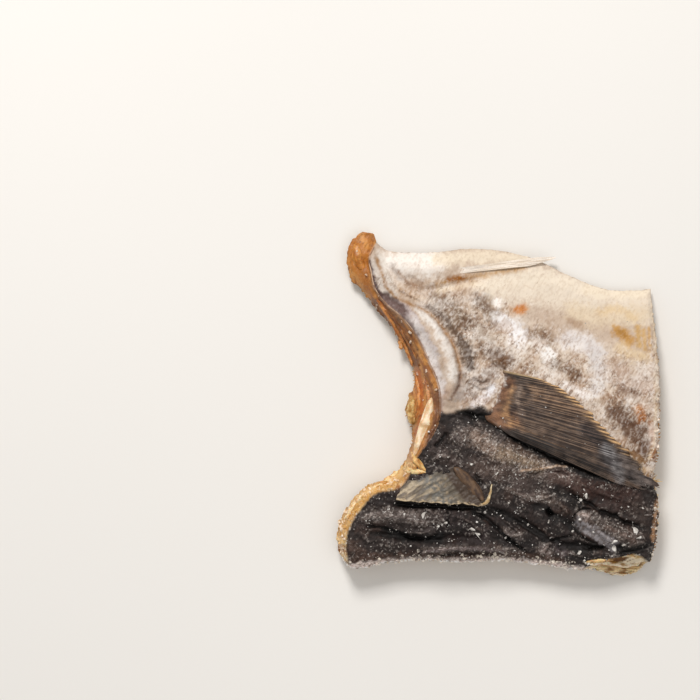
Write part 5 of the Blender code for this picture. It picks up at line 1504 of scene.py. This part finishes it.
# ---- Lips, bone, loose fibres, crumbs and salt ----
def lump_shape(line, half_widths, rise, sink, crag):
    """(points, faces) of a closed craggy sausage along the line, set into the top."""
    path = smooth_curve(line, 0.35)
    share = np.linspace(0, 1, len(path))
    normal = left_of(np.gradient(path, axis=0))
    widths = np.interp(share, np.linspace(0, 1, len(half_widths)), half_widths)
    girth = np.sqrt(np.clip(1 - (2 * share - 1) ** 8, 0.02, 1))
    ground = top_height(path)
    sides, rows = 22, len(path)
    points = []
    for angle in np.arange(sides) / sides * math.tau:
        ring = np.column_stack([
            path + normal * (math.cos(angle) * widths * girth)[:, None],
            ground - sink + rise * girth * math.sin(angle),
        ])
        outward = np.column_stack([normal * math.cos(angle), np.full(rows, math.sin(angle))])
        points.append(ring + crag * fractal(ring, 1, 5, 3)[:, None] * outward)
    cells = np.arange(sides * rows).reshape(sides, rows)
    after = np.roll(cells, -1, axis=0)
    quads = np.stack([cells[:, :-1], after[:, :-1], after[:, 1:], cells[:, 1:]], -1).reshape(-1, 4)
    return np.vstack(points), [*quads.tolist(), cells[:, 0].tolist(), cells[::-1, -1].tolist()]


def lumps(name, forms, material):
    """One piece made of several lumps, each with its own two hues."""
    points, faces, colours = np.zeros((0, 3)), [], []
    for line, half_widths, rise, sink, crag, hues in forms:
        made, cells = lump_shape(line, half_widths, rise, sink, crag)
        faces += [[len(points) + corner for corner in cell] for cell in cells]
        points = np.vstack([points, made])
        heading = math.degrees(math.atan2(line[-1][1] - line[0][1], line[-1][0] - line[0][0]))
        tone = step_up(fractal(made, 1, 15, 4, turn=heading, stretch=3), -0.4, 0.35)
        colours.append(mixed(*hues, tone))
    piece = mesh_piece(name, points, faces, material)
    give_paint(piece.data, np.vstack(colours))
    hand_over(piece)


def make_bare_flesh():
    """The shoulder bone's end, and the lumps and layers of flesh along the torn edges."""
    # bare fish bone: smooth, cream, with a faint glow from within
    bone = painted_material("dried fish bone", 0.45, 0.4, 0.06, speckle=0.12, glow=0.15)
    lumps("shoulder_bone", [BONE], bone)
    # salted muscle, air-dried: amber, gritty, glossy where its oil has come out
    flesh = painted_material("dried fish flesh", 0.4, 0.5, 0.1, speckle=0.3, glow=0.2)
    lumps("flesh_lumps", LUMPS, flesh)
    lumps("loin_layers", LOIN_BANDS, flesh)


def curl(heading, reach):
    """Steps away from a thread's root, each with its own heading and reach."""
    return np.column_stack([np.cos(heading), np.sin(heading)]) * reach[:, None]


def make_loose_fibres():
    """The skin's pale lip, torn fibres of the edges, the frayed rib and the flap's fringe."""
    flesh = bpy.context.scene.cutlet_flesh
    random = np.random.default_rng(flesh.seed)
    # single fibres of muscle and skin, dried: pale, half matt
    material = painted_material("dried fibres", 0.55, 0.5, 0.05, speckle=0.15)
    threads = []
    for edge, first, last, count, longest, girth, tints in FRINGES:
        line = smooth_curve(edge, 1)
        step = np.gradient(line, axis=0)
        for place in random.uniform(first, last, count):
            spot = int(place * (len(line) - 1))
            reach = np.linspace(-0.5, random.uniform(0.3, 1) * longest, 7)
            heading = math.atan2(-step[spot, 0], step[spot, 1]) + random.normal(0, 0.6)
            path = line[spot] + curl(heading + 0.3 * reach, reach)
            height = top_height(line[spot : spot + 1])[0] - random.uniform(0.2, 1.6)
            path = np.column_stack([path, height - 0.2 * np.maximum(reach, 0)])
            hue = linear(tints[random.integers(len(tints))])
            threads.append((path, girth * np.linspace(1, 0.4, len(path)), hue))
    lip = smooth_curve(GILL_LIP[:14], 0.4)[10:]
    share = np.linspace(0, 1, len(lip))
    girth = 0.15 * (1 - 0.5 * step_up(share, 0.45, 0.7)) + 0.08 * fractal(lip, 3, 4, 3)
    pale = mixed("#c9ab92", "#977258", spots(lip, 3, 31, 3, -0.3, 0.4))
    pale = mixed(pale, "#8a5d3c", step_up(share, 0.5, 0.7))
    threads.append((np.column_stack([lip, top_height(lip) + 0.08]), np.clip(girth, 0.08, 0.4), pale))
    share = np.linspace(0, 1, 14)
    for length, angle in RIB_SPIKES:
        heading = np.full(len(share), math.radians(angle))
        path = RIB_BASE + np.column_stack([curl(heading, length * share), 0.6 * share**2])
        path += 0.15 * fractal(path, 1.5, angle, 2)[:, None]
        threads.append((path, 0.42 * (1 - 0.85 * share), mixed("#a8743a", "#e8cf9e", share)))
    for _ in range(flesh.fringe_fibres):
        share = random.uniform(0.02, 0.98)
        reach = np.linspace(0, random.uniform(0.4, 1.5), 7)
        start = spread(FLAP_ROOT, FLAP_ENDS, np.array([share]), np.array([random.uniform(0.9, 1)]))[0]
        heading = math.radians(-80 + random.normal(20, 40))
        path = start + curl(heading + 0.2 * reach, reach)
        hue = linear(("#d9bf92", "#eadcc0", "#b08a55")[random.integers(3)])
        height = top_height(path) + np.interp(reach, (0, reach[-1]), (FLAP_LIFT, 0.6))
        threads.append((np.column_stack([path, height]), 0.15 * np.linspace(1, 0.4, len(path)), hue))
    strands("loose_fibres", threads, MM, material, sides=6)


def make_crumbs(flank):
    """Crumbs of flesh at the nape and along the torn edge of the back."""
    flesh = bpy.context.scene.cutlet_flesh
    # crumbled dry flesh: matt, each crumb a shade off the flesh that it lies on
    crumb = clouded_material("dried flesh crumb", 450, 3, (0.4, 0.6, 0.7), None, flesh.crumb, 0.6)
    strewn("flesh_crumbs", flank, crumb, "dried_flesh", "crumbs", flesh.crumb_density, flesh.crumb_size,
           flesh.seed, (6, 11, 0.7, flesh.seed))


def make_salt(flank, fin):
    """Salt: fine grains all over the back and a few on the fin, and coarse crystals here and there."""
    salt = bpy.context.scene.cutlet_salt
    seed, clouds = salt.seed, (700, 2, (0.35, 0.65, 1))
    # sea salt: grey to near-white, waxy from the damp it draws; large crystals are the glossier
    fine = clouded_material("fine sea salt", *clouds, linear("#857d78"), linear("#ece9e5"), 0.45, ior=1.54)
    coarse = clouded_material("coarse sea salt", *clouds, salt.hue, linear("#eae6e1"), 0.3, ior=1.54)
    for name, surface, material, *how in (
        ("fine_salt", flank, fine, salt.fine_density, salt.fine_size, seed, (5, 9, 0.8, seed)),
        ("salt_on_fin", fin, fine, salt.fine_density, salt.fin_size, seed, (4, 9, 0.8, seed + 3)),
        ("coarse_salt", flank, coarse, salt.coarse_density, salt.coarse_size, seed + 1,
         (6, 10, 0.75, seed + 1)),
    ):
        strewn(name, surface, material, "salt", "grains", *how)
    random = np.random.default_rng(seed + 2)
    points, faces = [], []
    for x, y, size, heading in LARGE_FLAKES:
        seat = top_height(np.array([[x, y]]))[0] + 0.3 + 0.12 * size
        turn = Matrix.Rotation(math.radians(heading), 3, "Z")
        corners = [
            corner / np.linalg.norm(corner) * size * (0.58, random.uniform(0.34, 0.42), 0.25)
            for corner in random.normal(size=(11, 3))
        ]
        work = hull([turn @ Vector(corner) + Vector((x, y, seat)) for corner in corners])
        bmesh.ops.bevel(work, geom=work.edges[:], offset=0.06 * size, segments=1, affect="EDGES")
        work.verts.index_update()
        faces += [[len(points) + v.index for v in face.verts] for face in work.faces]
        points += [tuple(v.co) for v in work.verts]
        work.free()
    piece = mesh_piece("large_salt_crystals", points, faces, coarse)
    piece.data.shade_flat()
    hand_over(piece)


# ---- Stage ----
def make_stage():
    """Pale table, soft daylight from above and behind the belly, and the camera looking straight down."""
    scene = bpy.context.scene
    stage = scene.cutlet_stage
    scene.world = bpy.data.worlds.new("soft white room")
    scene.world.use_nodes = True
    tree = scene.world.node_tree
    set_inputs(tree, tree.nodes["Background"], {"Color": (*stage.sky, 1), "Strength": stage.sky_strength})
    # laminate: matt, off-white, barely clouded
    laminate = clouded_material("matt white laminate", 3, 2, (0, 1, 1), stage.table, linear("#efedea"), 0.85)
    half, level = 2000, -0.2
    corners = [(-half, -half, level), (half, -half, level), (half, half, level), (-half, half, level)]
    mesh_piece("table_top", corners, [(0, 1, 2, 3)], laminate, outwards=False)
    for name, place, size, power in (
        ("window", (-0.2, 0.66, 0.74), 0.28, stage.key_power),
        ("white ceiling", (0.35, -0.3, 0.95), 0.8, stage.fill_power),
    ):
        lamp = bpy.data.lights.new(name, "AREA")
        lamp.size = size
        lamp.energy = power
        lamp.color = (1, 0.975, 0.94)
        lamp_object = bpy.data.objects.new(name, lamp)
        lamp_object.location = place
        lamp_object.rotation_mode = "QUATERNION"
        lamp_object.rotation_quaternion = (-Vector(place)).to_track_quat("-Z", "Y")
        scene.collection.objects.link(lamp_object)
    sensor, skin_level = 36, 0.008
    camera = bpy.data.objects.new("camera", bpy.data.cameras.new("camera"))
    camera.location = stage.camera_place
    camera.data.sensor_width = sensor
    camera.data.lens = sensor * (stage.camera_place[2] - skin_level) / stage.frame_width
    scene.collection.objects.link(camera)
    scene.camera = camera
    scene.view_settings.view_transform = "Standard"


# ---- Settings ----
def hue_setting(name, description, hue):
    """A hue, given as a hex code and kept as linear light."""
    return bpy.props.FloatVectorProperty(
        name=name, description=description, subtype="COLOR", size=3, min=0, max=1, default=tuple(linear(hue)),
    )


def size_setting(name, description, millimetres):
    """A size, given in millimetres and kept in metres."""
    return bpy.props.FloatProperty(
        name=name, description=description, subtype="DISTANCE", unit="LENGTH", min=0, precision=5,
        default=millimetres * MM,
    )


def range_setting(name, description, smallest, largest):
    """A smallest and a largest size, given in millimetres and kept in metres."""
    return bpy.props.FloatVectorProperty(
        name=name, description=description, size=2, min=0, unit="LENGTH", precision=5,
        default=(smallest * MM, largest * MM),
    )


def count_setting(name, description, count):
    """A whole number, such as a count or a seed."""
    return bpy.props.IntProperty(name=name, description=description, min=0, default=count)


def strength_setting(name, description, strength):
    """A density, a power or a strength."""
    return bpy.props.FloatProperty(name=name, description=description, min=0, default=strength)


class CutletSkin(bpy.types.PropertyGroup):
    """Hues and grain of the skin."""

    flank: hue_setting("Flank", "Pale skin of the flank before it is mottled", "#c4b09e")
    back: hue_setting("Back", "Dark skin of the back", "#2d2421")
    pigment: hue_setting("Pigment", "What the broken pigment multiplies the skin by", "#b0967f")
    frost: hue_setting("Frost", "Salt dried into the skin", "#f4efe9")
    pigment_grain: size_setting("Pigment grain", "Size of the specks of pigment", 0.9)
    frost_grain: size_setting("Frost grain", "Size of the specks of salt in the skin", 0.8)


class CutletFlesh(bpy.types.PropertyGroup):
    """Crumbs and fibres of the flesh."""

    crumb: hue_setting("Crumb", "Cream that the crumbs fade to", "#fbf0e0")
    crumb_size: range_setting("Crumb size", "Smallest and largest crumb", 0.4, 2)
    crumb_density: strength_setting("Crumb density", "Crumbs on each square centimetre of bare flesh", 70)
    fringe_fibres: count_setting("Fringe fibres", "Threads along the flap's edge", 8)
    seed: count_setting("Seed", "Seed of everything random in the flesh", 5)


class CutletFins(bpy.types.PropertyGroup):
    """Rays of the fins."""

    pectoral_rays: count_setting("Pectoral rays", "Rays of the pectoral fin", 28)
    pelvic_rays: count_setting("Pelvic rays", "Rays of the pelvic fin", 6)
    ray_radius: size_setting("Ray radius", "Radius of a ray at its root", 0.17)
    seed: count_setting("Seed", "Seed of the rays' uneven lengths", 3)


class CutletSalt(bpy.types.PropertyGroup):
    """Salt that lies on the skin."""

    hue: hue_setting("Salt", "Hue of the salt's shaded side", "#b3ada6")
    fine_size: range_setting("Fine salt", "Smallest and largest fine grain", 0.24, 1)
    fin_size: range_setting("Salt on the fin", "Smallest and largest grain on the pectoral fin", 0.3, 0.9)
    fine_density: strength_setting("Fine density", "Fine grains on each square centimetre of the back", 26)
    coarse_size: range_setting("Coarse salt", "Smallest and largest coarse grain", 0.5, 1.5)
    coarse_density: strength_setting("Coarse density", "Coarse grains on each square centimetre", 2.6)
    seed: count_setting("Seed", "Seed of the salt's places", 12)


class CutletStage(bpy.types.PropertyGroup):
    """Light, table and camera."""

    table: hue_setting("Table", "Pale table top", "#e4e2df")
    sky: hue_setting("Room", "Light of the room from all sides", "#faf7f3")
    sky_strength: strength_setting("Room strength", "How strong the room's light is", 0.46)
    key_power: strength_setting("Window power", "Power of the soft light from the belly side, in watts", 7.4)
    fill_power: strength_setting("Ceiling power", "Power of the fill light, in watts", 1.8)
    frame_width: size_setting("Frame width", "Width that the camera sees at the height of the skin", 227.5)
    camera_place: bpy.props.FloatVectorProperty(
        name="Camera place", description="Where the camera stands, looking straight down",
        subtype="TRANSLATION", unit="LENGTH", default=(-0.04875, 0.01755, 1),
    )


SETTINGS = {
    "cutlet_skin": CutletSkin,
    "cutlet_flesh": CutletFlesh,
    "cutlet_fins": CutletFins,
    "cutlet_salt": CutletSalt,
    "cutlet_stage": CutletStage,
}


# ---- Operators and panel ----
class CUTLET_OT_flank(bpy.types.Operator):
    """Make the body: mottled skin, dark back, torn and sawn flesh"""

    bl_idname = "cutlet.flank"
    bl_label = "Skin and Flesh"

    def execute(self, context):
        make_flank()
        return {"FINISHED"}


class CUTLET_OT_pectoral_fin(bpy.types.Operator):
    """Make the pectoral fin's web and rays"""

    bl_idname = "cutlet.pectoral_fin"
    bl_label = "Pectoral Fin"

    def execute(self, context):
        make_pectoral_fin()
        return {"FINISHED"}


class CUTLET_OT_pelvic_fin(bpy.types.Operator):
    """Make the pale fin on the belly"""

    bl_idname = "cutlet.pelvic_fin"
    bl_label = "Pelvic Fin"

    def execute(self, context):
        make_pelvic_fin()
        return {"FINISHED"}


class CUTLET_OT_membrane(bpy.types.Operator):
    """Make the dried flap of gill membrane"""

    bl_idname = "cutlet.membrane"
    bl_label = "Gill Membrane"

    def execute(self, context):
        make_membrane()
        return {"FINISHED"}


class CUTLET_OT_bare_flesh(bpy.types.Operator):
    """Make the shoulder bone's end and the lumps of flesh"""

    bl_idname = "cutlet.bare_flesh"
    bl_label = "Bone and Flesh Lumps"

    def execute(self, context):
        make_bare_flesh()
        return {"FINISHED"}


class CUTLET_OT_loose_fibres(bpy.types.Operator):
    """Make the lip, the rib ends and the torn fibres"""

    bl_idname = "cutlet.loose_fibres"
    bl_label = "Loose Fibres"

    def execute(self, context):
        make_loose_fibres()
        return {"FINISHED"}


class CUTLET_OT_crumbs(bpy.types.Operator):
    """Strew crumbs of flesh along the torn edges"""

    bl_idname = "cutlet.crumbs"
    bl_label = "Flesh Crumbs"

    def execute(self, context):
        make_crumbs(bpy.data.objects["dried_flank"])
        return {"FINISHED"}


class CUTLET_OT_salt(bpy.types.Operator):
    """Strew fine and coarse salt over the back"""

    bl_idname = "cutlet.salt"
    bl_label = "Salt"

    def execute(self, context):
        make_salt(bpy.data.objects["dried_flank"], bpy.data.objects["pectoral_fin_web"])
        return {"FINISHED"}


class CUTLET_OT_stage(bpy.types.Operator):
    """Set up the table, the light and the camera"""

    bl_idname = "cutlet.stage"
    bl_label = "Table, Light and Camera"

    def execute(self, context):
        make_stage()
        return {"FINISHED"}


OPERATORS = (
    CUTLET_OT_flank,
    CUTLET_OT_pectoral_fin,
    CUTLET_OT_pelvic_fin,
    CUTLET_OT_membrane,
    CUTLET_OT_bare_flesh,
    CUTLET_OT_loose_fibres,
    CUTLET_OT_crumbs,
    CUTLET_OT_salt,
    CUTLET_OT_stage,
)


class CUTLET_PT_pieces(bpy.types.Panel):
    """Lists the cutlet's pieces and their settings"""

    bl_idname = "CUTLET_PT_pieces"
    bl_label = "Dried Salt Fish Cutlet"
    bl_space_type = "VIEW_3D"
    bl_region_type = "UI"
    bl_category = "Salt Fish"

    def draw(self, context):
        for operator in OPERATORS:
            self.layout.operator(operator.bl_idname)
        for name, group in SETTINGS.items():
            box = self.layout.box()
            for label in group.__annotations__:
                box.prop(getattr(context.scene, name), label)


def register():
    """Adds the settings, the operators and the panel to Blender."""
    for group in SETTINGS.values():
        bpy.utils.register_class(group)
    for name, group in SETTINGS.items():
        setattr(bpy.types.Scene, name, bpy.props.PointerProperty(type=group))
    for made in (*OPERATORS, CUTLET_PT_pieces):
        bpy.utils.register_class(made)


def unregister():
    """Takes them out again, the last one first."""
    for made in (CUTLET_PT_pieces, *reversed(OPERATORS)):
        bpy.utils.unregister_class(made)
    for name, group in reversed(SETTINGS.items()):
        delattr(bpy.types.Scene, name)
        bpy.utils.unregister_class(group)


def main():
    """Makes every piece."""
    register()
    for operator in OPERATORS:
        group, name = operator.bl_idname.split(".")
        getattr(getattr(bpy.ops, group), name)()


if __name__ == "__main__":
    main()
